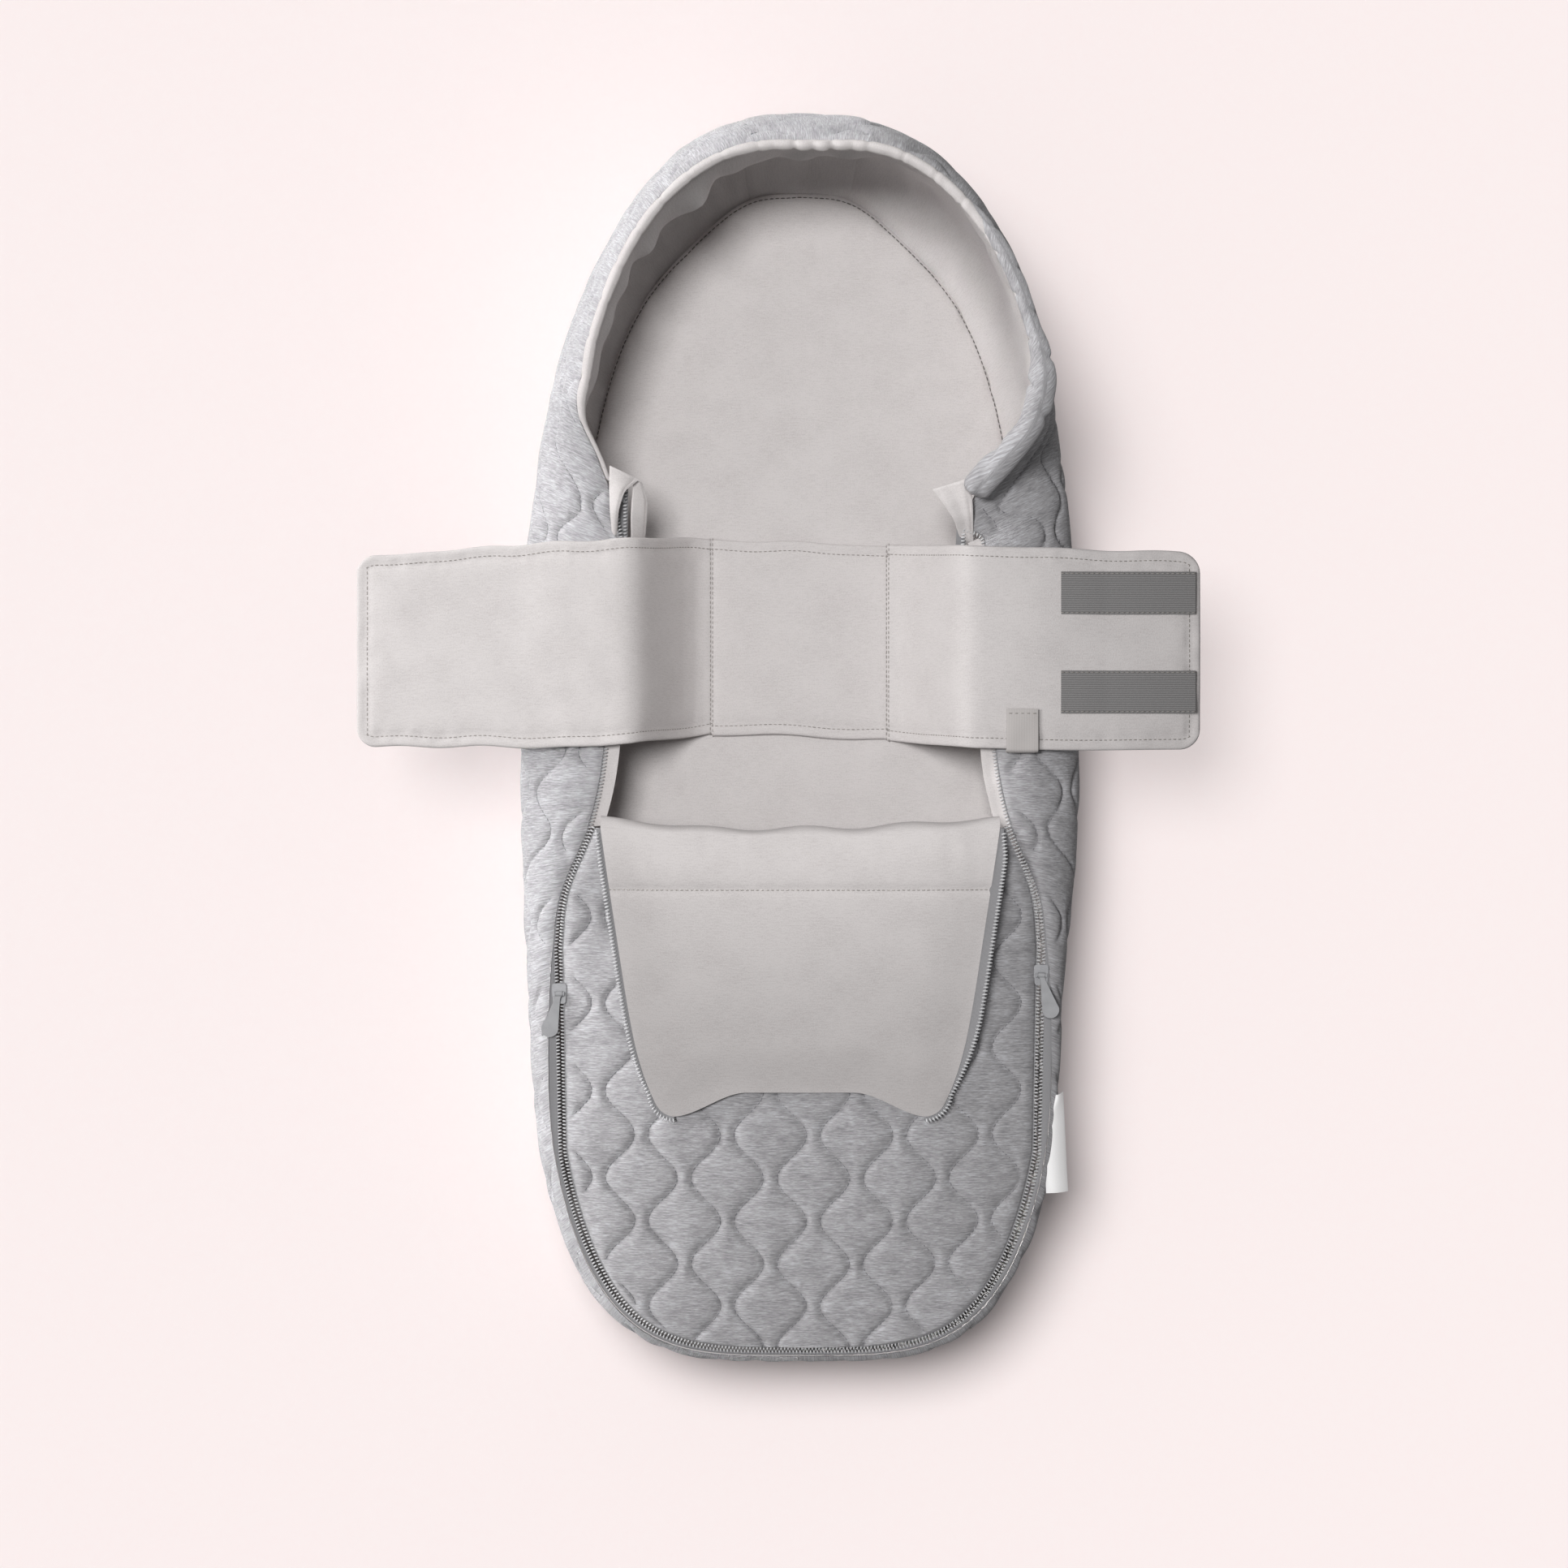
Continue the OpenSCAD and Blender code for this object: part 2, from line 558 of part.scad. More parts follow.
FLAP_ROWS = [0, 0.12, 0.26, 0.42, 0.58, 0.74, 0.88, 0.95, 1];
module flap_layer(k) {
    ribbon_solid([for (v = FLAP_ROWS) concat(
        [for (u = SPAN) flap_point(u, v, k + 1)],
        [for (i = [len(SPAN) - 1 : -1 : 0]) flap_point(SPAN[i], v, k)])]);
}

module flap_shell() { color(quilt_grey) flap_layer(0); }
module flap_wadding() { color(wadding_white) flap_layer(1); }
module flap_lining() { color(lining_ivory) flap_layer(2); }

function flap_side(side, v, e, h) =
    let(p = flap_point(side, v, 0)) [p[0] + side*e, p[1], p[2] + edge_t/2 + h];

module flap_strip(rows, e0, e1, h) {
    for (side = [-1, 1]) {
        ordered = side < 0 ? rows : [for (i = [len(rows) - 1 : -1 : 0]) rows[i]];
        ribbon_solid([for (v = ordered)
            [flap_side(side, v, e1, h/2), flap_side(side, v, e0, h/2),
             flap_side(side, v, e0, -h/2), flap_side(side, v, e1, -h/2)]]);
    }
}
module zip_tape_flap() { color(tape_grey) flap_strip(FLAP_ROWS, 0, tape_w, tape_t); }
module zip_coil_flap() {
    color(coil_grey) flap_strip([for (v = FLAP_ROWS) if (v < 0.9) v], tape_w, tape_w + coil_w, coil_h);
}
module zip_stops_flap() {
    color(enamel_grey) flap_strip([0.885, 0.91], tape_w, tape_w + coil_w + gap, coil_h + gap);
}

// ---- Swaddle wrap ----

roll_top = bulge_z + (side_h - bulge_z)/sin(roll_curl);
wing_low = roll_top + 2*rest_gap;
wing_top = wing_low + wrap_t;
wrap_l = wrap_front + wrap_back;
wrap_mid = (wrap_front - wrap_back)/2;

module wrap_panel() {
    color(lining_ivory) translate([-panel_half, -wrap_back, base_h]) cube([2*panel_half, wrap_l, wrap_t]);
}

// The slanting piece between the panel on the base and one wing's fold.
module wrap_riser() {
    foot = [panel_half + wrap_t, base_h + gap];
    head = [bend_x, wing_top - 3*gap];
    run = head - foot;
    across = [-run[1], run[0]]*wrap_t/norm(run);
    translate([0, wrap_front, 0]) rotate([90, 0, 0])
        linear_extrude(wrap_l) polygon([foot, head, head + [-wrap_t, 0], foot + across + [0, gap]]);
}
module wrap_riser_right() { color(lining_ivory) wrap_riser(); }
module wrap_riser_left() { color(lining_ivory) mirror([1, 0, 0]) wrap_riser(); }

// One of a wing's three layers, counted from the top. The wing's outer corners are round.
module wing_layer(reach, k) {
    layer_t = wrap_t/3;
    translate([0, 0, wing_top - (k + 1)*layer_t]) linear_extrude(layer_t) {
        translate([bend_x + gap, -wrap_back]) square([reach - wing_r - bend_x - gap, wrap_l]);
        translate([reach - wing_r - 1, wing_r - wrap_back]) square([wing_r + 1, wrap_l - 2*wing_r]);
        for (y = [wing_r - wrap_back, wrap_front - wing_r])
            translate([reach - wing_r, y]) circle(r = wing_r, $fn = 48);
    }
}
module wing_left_face() { color(lining_ivory) mirror([1, 0, 0]) wing_layer(left_reach, 0); }
module wing_left_fleece() { color(wadding_white) mirror([1, 0, 0]) wing_layer(left_reach, 1); }
module wing_left_back() { color(lining_ivory) mirror([1, 0, 0]) wing_layer(left_reach, 2); }
module wing_right_face() { color(lining_ivory) wing_layer(right_reach, 0); }
module wing_right_fleece() { color(wadding_white) wing_layer(right_reach, 1); }
module wing_right_back() { color(lining_ivory) wing_layer(right_reach, 2); }

module strip_pair(reach, z) {
    for (s = [-1, 1])
        translate([reach - strip_end - strip_l, wrap_mid + s*strip_pitch/2 - strip_w/2, z])
            cube([strip_l, strip_w, strip_t]);
}
module hook_strips() { color(strip_grey) strip_pair(right_reach, wing_top); }
module loop_strips() {
    color(loop_grey) mirror([1, 0, 0]) strip_pair(left_reach, wing_low - strip_t);
}

// A ribbon folded over the right wing's lower edge.
module wrap_tab() {
    under_l = 14;
    color(lining_ivory) translate([tab_x - tab_w/2, -wrap_back, 0]) {
        translate([0, 0, wing_top]) cube([tab_w, tab_l, tab_t]);
        translate([0, 0, wing_low - tab_t]) cube([tab_w, under_l, tab_t]);
        translate([0, -tab_t, wing_low - tab_t]) cube([tab_w, tab_t, wrap_t + 2*tab_t]);
    }
}

// ---- Label in the right seam ----

module side_label() {
    ends = [for (s = [-1, 1]) angle_at(bag_l/2 - label_from_foot + s*label_l/2, foot_in + 2)];
    rows = [1 - label_reach, 1 - label_reach/2, 0.995];
    color(label_white) ribbon_solid([for (a = spread(ends[0], ends[1], 2.5)) concat(
        [for (v = rows) wall(a, v, -gap)], [for (i = [2, 1, 0]) wall(a, rows[i], -gap - label_t)])]);
}

// ---- Sliders and pulls ----

plate_top = slider_bore/2 + slider_plate;
eye_r = bar_r + 1;
bar_z = plate_top + eye_r + gap;
eye_l = 4;
bar_clear = 0.08;

// Puts a child made at the origin, with the chain along Y, on the chain at one slider's place.
module on_chain(side) {
    back = slider_back(side);
    x = way_start[0] - way_slope*(back + way_start[1]);
    translate([side*x, -back, way_z]) mirror([side < 0 ? 1 : 0, 0, 0]) rotate([0, 0, -atan(way_slope)]) children();
}

module slider_plate_shape() {
    nose = 1.6;
    hull() for (s = [-1, 1]) {
        translate([s*(slider_w/2 - nose), slider_l/2 - nose]) circle(r = nose, $fn = 24);
        translate([s*(slider_w/2 - 1.3*nose), nose - slider_l/2]) circle(r = nose, $fn = 24);
    }
}

module zip_slider() {
    flange_w = 0.8;
    root = slider_plate/2;    // how deep each upright is let into its plate
    post_w = coil_gap - 2*gap;
    ear = 0.9;
    color(enamel_grey) {
        for (z = [slider_bore/2, -plate_top]) translate([0, 0, z]) linear_extrude(slider_plate) slider_plate_shape();
        translate([-post_w/2, slider_l/2 - 3.2, root - plate_top]) cube([post_w, 2.4, 2*(plate_top - root)]);
        for (s = [-1, 1]) {
            for (z = [tape_t/2 + gap, root - plate_top])
                translate([s*(slider_w/2 - flange_w/2) - flange_w/2, -slider_l/8, z])
                    cube([flange_w, slider_l/2, plate_top - root - tape_t/2 - gap]);
            translate([s*(eye_l/2 + gap + ear/2) - ear/2, -1.1, plate_top - root])
                cube([ear, 2.2, bar_z - plate_top + root + 1.1]);
        }
        translate([-eye_l/2 - gap - ear/2, 0, bar_z]) rotate([0, 90, 0])
            cylinder(r = bar_r, h = eye_l + 2*gap + ear, $fn = 32);
    }
}

module zip_pull() {
    neck_w = 3;
    tongue_r = pull_w/2;
    color(rubber_grey) translate([0, 0, bar_z]) difference() {
        union() {
            translate([-eye_l/2, 0, 0]) rotate([0, 90, 0]) cylinder(r = eye_r, h = eye_l, $fn = 32);
            rotate([0, 0, pull_yaw]) translate([0, 0, -pull_t/2]) linear_extrude(pull_t) {
                translate([-neck_w/2, -pull_l/2]) square([neck_w, pull_l/2]);
                translate([0, tongue_r - pull_l]) circle(r = tongue_r, $fn = 40);
                polygon([[-neck_w/2, -3.5], [neck_w/2, -3.5], [tongue_r, tongue_r - pull_l],
                    [-tongue_r, tongue_r - pull_l]]);
            }
        }
        translate([-eye_l, 0, 0]) rotate([0, 90, 0]) cylinder(r = bar_r + bar_clear, h = 2*eye_l, $fn = 32);
    }
}

module zip_slider_left() { on_chain(-1) zip_slider(); }
module zip_slider_right() { on_chain(1) zip_slider(); }
module zip_pull_left() { on_chain(-1) zip_pull(); }
module zip_pull_right() { on_chain(1) zip_pull(); }

back_panel();
base_pad();
base_lining();
side_shell_left();
side_shell_right();
hood_shell();
side_wadding_left();
side_wadding_right();
hood_wadding();
side_lining_left();
side_lining_right();
hood_lining();
rim_casing();
rim_elastic();
zip_tape_body();
zip_coil_body();
zip_stops_body();
zip_guard_left();
zip_guard_right();
zip_garage_left();
zip_garage_right();
cover_shell();
cover_wadding();
cover_lining();
zip_tape_cover();
zip_coil_cover();
flap_shell();
flap_wadding();
flap_lining();
zip_tape_flap();
zip_coil_flap();
zip_stops_flap();
wrap_panel();
wrap_riser_left();
wrap_riser_right();
wing_left_face();
wing_left_fleece();
wing_left_back();
loop_strips();
wing_right_face();
wing_right_fleece();
wing_right_back();
hook_strips();
wrap_tab();
side_label();
zip_slider_left();
zip_pull_left();
zip_slider_right();
zip_pull_right();
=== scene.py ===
"""Baby sleeping bag for a pram: padded nest with a raised hood, zipped cover, folded flap and a swaddle wrap.

Sizes are in millimetres and degrees, as in the part's own source, and turn to metres where a mesh is made.
+Y runs to the head and +Z up. Angles round the bag are 0 at the head, 90 at the right side, 180 at the foot.
"""

import json
import logging
import math
from dataclasses import dataclass, field
from enum import Enum
from typing import Callable, Sequence

import bpy
import numpy as np
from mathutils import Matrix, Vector

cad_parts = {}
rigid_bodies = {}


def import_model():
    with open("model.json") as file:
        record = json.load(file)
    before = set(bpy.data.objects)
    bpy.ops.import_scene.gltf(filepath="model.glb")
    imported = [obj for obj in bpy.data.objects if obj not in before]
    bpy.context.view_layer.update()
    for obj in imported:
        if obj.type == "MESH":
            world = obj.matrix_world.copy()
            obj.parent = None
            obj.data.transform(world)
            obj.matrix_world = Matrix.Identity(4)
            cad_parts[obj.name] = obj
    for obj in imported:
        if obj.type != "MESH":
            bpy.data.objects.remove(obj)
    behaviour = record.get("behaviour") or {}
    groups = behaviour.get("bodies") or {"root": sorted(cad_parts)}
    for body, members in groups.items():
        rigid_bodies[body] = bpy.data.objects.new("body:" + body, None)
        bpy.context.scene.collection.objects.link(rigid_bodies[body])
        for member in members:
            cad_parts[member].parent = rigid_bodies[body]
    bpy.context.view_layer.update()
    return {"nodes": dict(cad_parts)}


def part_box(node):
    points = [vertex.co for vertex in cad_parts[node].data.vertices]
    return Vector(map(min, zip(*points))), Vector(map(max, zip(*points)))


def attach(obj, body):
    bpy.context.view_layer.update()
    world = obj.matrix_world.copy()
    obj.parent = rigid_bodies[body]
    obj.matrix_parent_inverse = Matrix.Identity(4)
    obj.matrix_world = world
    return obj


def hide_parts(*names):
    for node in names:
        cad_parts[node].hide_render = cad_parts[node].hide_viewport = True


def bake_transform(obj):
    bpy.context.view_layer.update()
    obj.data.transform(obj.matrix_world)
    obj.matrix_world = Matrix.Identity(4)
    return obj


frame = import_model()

Array = np.ndarray
Object = bpy.types.Object
Material = bpy.types.Material
LOG = logging.getLogger("sleeping_bag")
MM = 0.001
CLOTH_UV = "Cloth"          # the cloth's own coordinates: 1 unit is 100 mm of fabric
UV_MM = 100.0


class Side(Enum):
    """The two sides of the bag, as the sign of X."""

    LEFT = -1
    RIGHT = 1


class Body(Enum):
    """The CAD bodies that the pieces ride on."""

    NEST = "nest"
    FLAP = "cover_flap"
    LEFT_WING = "left_wing"
    RIGHT_WING = "right_wing"


class Slot(Enum):
    """The record's material slots."""

    QUILT = "quilted_jersey"
    LINING = "lining_jersey"
    WADDING = "polyester_wadding"
    ELASTIC = "knitted_elastic"
    TAPE = "zip_tape"
    COIL = "zip_coil"
    ENAMEL = "zip_enamel"
    RUBBER = "pull_rubber"
    HOOK = "hook_tape"
    LOOP = "loop_tape"
    LABEL = "label_satin"


# ---- Small numeric helpers ----


def smooth(t: Array) -> Array:
    """Eases from 0 to 1 and holds beyond both ends."""
    c = np.clip(t, 0.0, 1.0)
    return c*c*(3 - 2*c)


def spread(start: float, end: float, step: float, multiple: int = 1) -> Array:
    """Evenly spread values.

    Args:
        start: First value.
        end: Last value.
        step: Largest distance between two values.
        multiple: The number of steps is a multiple of this.

    Returns:
        The values, both ends included.
    """
    count = multiple*max(1, math.ceil(abs(end - start)/step/multiple))
    return np.linspace(start, end, count + 1)


def along(points: Array, axis: int = 0) -> Array:
    """Running length in mm along one axis of a grid of points, 0 at the first."""
    steps = np.linalg.norm(np.diff(points, axis=axis), axis=-1)
    shape = list(points.shape[:-1])
    shape[axis] = 1
    return np.concatenate([np.zeros(shape), np.cumsum(steps, axis=axis)], axis=axis)


def grid_normals(points: Array) -> Array:
    """Unit normals of a grid of points, (rows, columns, 3)."""
    normal = np.cross(np.gradient(points, axis=0), np.gradient(points, axis=1))
    return normal/np.maximum(np.linalg.norm(normal, axis=-1, keepdims=True), 1e-9)


def raised(points: Array, height: Array, towards: Sequence[float] | None = None) -> Array:
    """Moves a grid's points along its normals.

    Args:
        points: The grid, (rows, columns, 3).
        height: How far each point moves.
        towards: A direction that the normals are turned to agree with, on the whole.

    Returns:
        The moved grid.
    """
    normal = grid_normals(points)
    if towards is not None and float((normal @ np.asarray(towards, float)).sum()) < 0:
        normal = -normal
    return points + normal*np.asarray(height)[..., None]


@dataclass(frozen=True)
class Ripple:
    """Smooth seeded unevenness of sewn cloth, as waves that run all ways. About -2 to 2."""

    seed: int
    size: float
    waves: int = 10

    def at(self, points: Array, stretch: Sequence[float] = (1, 1, 1)) -> Array:
        """The unevenness at points.

        Args:
            points: Points in mm, (..., 3).
            stretch: How much longer the waves are along each axis.

        Returns:
            One number for each point.
        """
        rng = np.random.default_rng(self.seed)
        ways = rng.normal(size=(self.waves, 3))
        ways /= np.linalg.norm(ways, axis=1, keepdims=True)
        sizes = self.size*rng.uniform(0.6, 1.7, self.waves)
        starts = rng.uniform(0, 2*np.pi, self.waves)
        scaled = points/np.asarray(stretch, float)
        total = np.zeros(points.shape[:-1])
        for way, size, start in zip(ways, sizes, starts):
            total += np.sin(2*np.pi*(scaled @ way)/size + start)
        return total/math.sqrt(self.waves/2)


# ---- Meshes ----


def add_mesh(name: str, points: Array, faces: list[Array], coords: Array | None = None,
             crease: float = 55.0) -> Object:
    """Makes a closed mesh object whose faces point outwards.

    Args:
        name: The piece's name.
        points: Vertices in mm, (n, 3).
        faces: Arrays of vertex numbers, one array for each number of corners.
        coords: Cloth coordinates in mm, (n, 2).
        crease: Edges that turn more than this many degrees are drawn sharp.

    Returns:
        The object, at the origin, with its place in its mesh.
    """
    volume = 0.0
    for f in faces:
        for k in range(1, f.shape[1] - 1):
            volume += np.einsum("ij,ij->", points[f[:, 0]], np.cross(points[f[:, k]], points[f[:, k + 1]]))
    if volume < 0:
        faces = [f[:, ::-1] for f in faces]
    loops = np.concatenate([f.ravel() for f in faces]).astype(np.int32)
    counts = np.concatenate([np.full(len(f), f.shape[1]) for f in faces])
    starts = np.concatenate([[0], np.cumsum(counts)[:-1]]).astype(np.int32)
    mesh = bpy.data.meshes.new(name)
    mesh.vertices.add(len(points))
    mesh.vertices.foreach_set("co", (points*MM).astype(np.float32).ravel())
    mesh.loops.add(len(loops))
    mesh.loops.foreach_set("vertex_index", loops)
    mesh.polygons.add(len(starts))
    mesh.polygons.foreach_set("loop_start", starts)
    mesh.update(calc_edges=True)
    mesh.validate()
    if coords is not None:
        layer = mesh.uv_layers.new(name=CLOTH_UV)
        layer.uv.foreach_set("vector", (coords[loops]/UV_MM).astype(np.float32).ravel())
    mesh.shade_smooth()
    mesh.set_sharp_from_angle(angle=math.radians(crease))
    piece = bpy.data.objects.new(name, mesh)
    bpy.context.scene.collection.objects.link(piece)
    return piece


def skin(name: str, front: Array, back: Array, coords: Array, step: int = 1, crease: float = 55.0) -> Object:
    """Closes two grids that face away from each other into one solid.

    Args:
        name: The piece's name.
        front: The shown face, (rows, columns, 3).
        back: The other face, with every step-th row and column of the front.
        coords: The front's cloth coordinates, (rows, columns, 2).
        step: Front steps for one step of the back.
        crease: As for add_mesh.

    Returns:
        The object.
    """
    rows, cols = front.shape[:2]
    b_rows, b_cols = back.shape[:2]
    f_id = np.arange(rows*cols).reshape(rows, cols)
    b_id = rows*cols + np.arange(b_rows*b_cols).reshape(b_rows, b_cols)

    def quads(grid: Array) -> Array:
        """The grid's faces."""
        return np.stack([grid[:-1, :-1], grid[:-1, 1:], grid[1:, 1:], grid[1:, :-1]], -1).reshape(-1, 4)

    def border(grid: Array) -> Array:
        """The grid's border, round once, the first corner again at the end."""
        return np.concatenate([grid[0, :-1], grid[:-1, -1], grid[-1, :0:-1], grid[::-1, 0]])

    f_loop, b_loop = border(f_id), border(b_id)
    segment = np.arange(len(b_loop) - 1)
    tris = [np.stack([f_loop[segment*step], b_loop[segment], b_loop[segment + 1]], -1)]
    for q in range(step):
        tris.append(np.stack([f_loop[segment*step + q], b_loop[segment + 1], f_loop[segment*step + q + 1]], -1))
    points = np.concatenate([front.reshape(-1, 3), back.reshape(-1, 3)])
    uv = np.concatenate([coords.reshape(-1, 2), coords[::step, ::step].reshape(-1, 2)])
    return add_mesh(name, points, [np.concatenate([quads(f_id), quads(b_id)[:, ::-1]]), np.concatenate(tris)],
                    uv, crease)


def tube(name: str, rings: Array, crease: float = 55.0, round_trip: bool = False,
         coords: Array | None = None) -> Object:
    """Skins closed rings into a tube with fan ends.

    Args:
        name: The piece's name.
        rings: Points, (rings, points in a ring, 3).
        crease: As for add_mesh.
        round_trip: Whether the last ring joins the first.
        coords: Cloth coordinates of the rings' points, (rings, points, 2), or None for length and girth.

    Returns:
        The object.
    """
    m, n = rings.shape[:2]
    index = np.arange(m*n).reshape(m, n)
    following = np.roll(index, -1, axis=1)
    if round_trip:
        index = np.concatenate([index, index[:1]])
        following = np.concatenate([following, following[:1]])
    quads = np.stack([index[:-1], following[:-1], following[1:], index[1:]], -1).reshape(-1, 4)
    faces = [quads]
    points = rings.reshape(-1, 3)
    if coords is None:
        run = along(rings.mean(axis=1))
        girth = along(rings[m//2])
        coords = np.stack(np.broadcast_arrays(run[:, None], girth[None, :]), -1)
    uv = coords.reshape(-1, 2)
    if not round_trip:
        points = np.concatenate([points, rings[:1].mean(axis=1), rings[-1:].mean(axis=1)])
        uv = np.concatenate([uv, coords[0].mean(axis=0)[None], coords[-1].mean(axis=0)[None]])
        first, last = np.full(n, m*n), np.full(n, m*n + 1)
        faces.append(np.concatenate([np.stack([following[0], index[0], first], -1),
                                     np.stack([index[-1], following[-1], last], -1)]))
    return add_mesh(name, points, faces, uv, crease)


def ribbon(name: str, left: Array, right: Array, thickness: float, up: Array, edge: float = 0.3,
           across: int = 4) -> Object:
    """A flat strip of tape between two rows of points.

    Args:
        name: The piece's name.
        left: Points along one edge, (n, 3).
        right: Points along the other edge, (n, 3).
        thickness: The tape's thickness.
        up: Unit vectors of the shown face, (n, 3).
        edge: How thin the tape's edges are, as a share of its thickness.
        across: Steps across the tape.

    Returns:
        The object.
    """
    t = np.linspace(0, 1, across + 1)
    middle = left[:, None] + (right - left)[:, None]*t[None, :, None]
    full = edge + (1 - edge)*smooth(np.minimum(t, 1 - t)*across)
    lift = up[:, None]*(full*thickness/2)[None, :, None]
    width = np.linalg.norm(right - left, axis=-1)
    run = along(left)
    coords = np.stack([t[None, :]*width[:, None], np.broadcast_to(run[:, None], (len(run), len(t)))], -1)
    return skin(name, middle + lift, middle - lift, coords)


def joined(name: str, parts: Sequence[Object]) -> Object:
    """Joins several objects into one piece."""
    bpy.ops.object.select_all(action="DESELECT")
    for part in parts:
        part.select_set(True)
    bpy.context.view_layer.objects.active = parts[0]
    bpy.ops.object.join()
    parts[0].name = parts[0].data.name = name
    return parts[0]


# ---- Materials ----


def linear(code: str) -> tuple[float, float, float, float]:
    """Turns an sRGB hex colour into linear RGBA."""
    values = [int(code[i:i + 2], 16)/255 for i in (1, 3, 5)]
    r, g, b = (v/12.92 if v <= 0.04045 else ((v + 0.055)/1.055)**2.4 for v in values)
    return (r, g, b, 1.0)


def add_node(tree: bpy.types.NodeTree, kind: str, inputs: dict | None = None, **settings: object) -> bpy.types.Node:
    """Adds a node with its settings and links.

    Args:
        tree: The node tree.
        kind: The node's type name.
        inputs: Socket name or number, to a value or to the socket that it takes.
        settings: The node's own properties.

    Returns:
        The node.
    """
    node = tree.nodes.new(kind)
    for key, value in settings.items():
        setattr(node, key, value)
    for key, value in (inputs or {}).items():
        if isinstance(value, bpy.types.NodeSocket):
            tree.links.new(value, node.inputs[key])
        else:
            node.inputs[key].default_value = value
    return node


@dataclass(frozen=True)
class Finish:
    """What all the finishes share: a name, a colour, a gloss, and a material made once."""

    name: str
    colour: str
    roughness: float = 0.9
    sheen: float = 0.0
    bump_mm: float = 0.15
    metallic: float = 0.0
    specular: float = 0.5

    def coordinates(self, tree: bpy.types.NodeTree) -> bpy.types.NodeSocket:
        """The socket that gives the pattern's place, in units of 100 mm."""
        return add_node(tree, "ShaderNodeUVMap", uv_map=CLOTH_UV).outputs["UV"]

    def paint(self, tree: bpy.types.NodeTree) -> tuple[bpy.types.NodeSocket | None, bpy.types.NodeSocket | None]:
        """The colour and height sockets of the finish, or None where it is even."""
        return None, None

    def material(self) -> Material:
        """The finish as a material.

        Returns:
            The material, made at the first call and found again later.
        """
        found = bpy.data.materials.get(self.name)
        if found:
            return found
        material = bpy.data.materials.new(self.name)
        material.use_nodes = True
        tree = material.node_tree
        tree.nodes.clear()
        colour, height = self.paint(tree)
        shader = add_node(tree, "ShaderNodeBsdfPrincipled", {
            "Base Color": colour or linear(self.colour), "Roughness": self.roughness,
            "Metallic": self.metallic, "Specular IOR Level": self.specular,
            "Sheen Weight": self.sheen, "Sheen Roughness": 0.5})
        if height:
            bump = add_node(tree, "ShaderNodeBump", {"Height": height, "Distance": self.bump_mm*MM, "Strength": 1.0})
            tree.links.new(bump.outputs["Normal"], shader.inputs["Normal"])
        add_node(tree, "ShaderNodeOutputMaterial", {"Surface": shader.outputs["BSDF"]})
        material.diffuse_color = linear(self.colour)
        return material


def scaled(tree: bpy.types.NodeTree, place: bpy.types.NodeSocket, across_mm: float, along_mm: float,
           unit_mm: float = UV_MM, turn: float = 0.0) -> bpy.types.NodeSocket:
    """Scales cloth coordinates so that one unit of a texture is a real size.

    Args:
        tree: The material's tree.
        place: The coordinates, where 1 is unit_mm.
        across_mm: Size of a feature along U.
        along_mm: Size of a feature along V.
        unit_mm: Millimetres in one unit of the coordinates.
        turn: Turn of the pattern in degrees.

    Returns:
        The scaled coordinates.
    """
    mapping = add_node(tree, "ShaderNodeMapping", {
        "Vector": place, "Rotation": (0, 0, math.radians(turn)),
        "Scale": (unit_mm/across_mm, unit_mm/along_mm, unit_mm/along_mm)})
    return mapping.outputs["Vector"]


def noise(tree: bpy.types.NodeTree, place: bpy.types.NodeSocket, detail: float = 2.0, rough: float = 0.5) -> bpy.types.NodeSocket:
    """A noise whose features are about one unit of the given coordinates."""
    return add_node(tree, "ShaderNodeTexNoise", {"Vector": place, "Scale": 1.0, "Detail": detail, "Roughness": rough},
                    noise_dimensions="3D").outputs["Fac"]


def blended(tree: bpy.types.NodeTree, share: bpy.types.NodeSocket, stops: Sequence[tuple[float, str]]) -> bpy.types.NodeSocket:
    """Colours read from a ramp of (place, hex colour) stops."""
    ramp = add_node(tree, "ShaderNodeValToRGB", {"Fac": share})
    while len(ramp.color_ramp.elements) < len(stops):
        ramp.color_ramp.elements.new(0.5)
    for element, (place, code) in zip(ramp.color_ramp.elements, stops):
        element.position = place
        element.color = linear(code)
    return ramp.outputs["Color"]


def summed(tree: bpy.types.NodeTree, parts: Sequence[tuple[bpy.types.NodeSocket, float]]) -> bpy.types.NodeSocket:
    """Adds up height sockets, each with its weight."""
    total = None
    for socket, weight in parts:
        inputs = {0: socket, 1: weight} if total is None else {0: socket, 1: weight, 2: total}
        total = add_node(tree, "ShaderNodeMath", inputs,
                         operation="MULTIPLY" if total is None else "MULTIPLY_ADD").outputs[0]
    return total


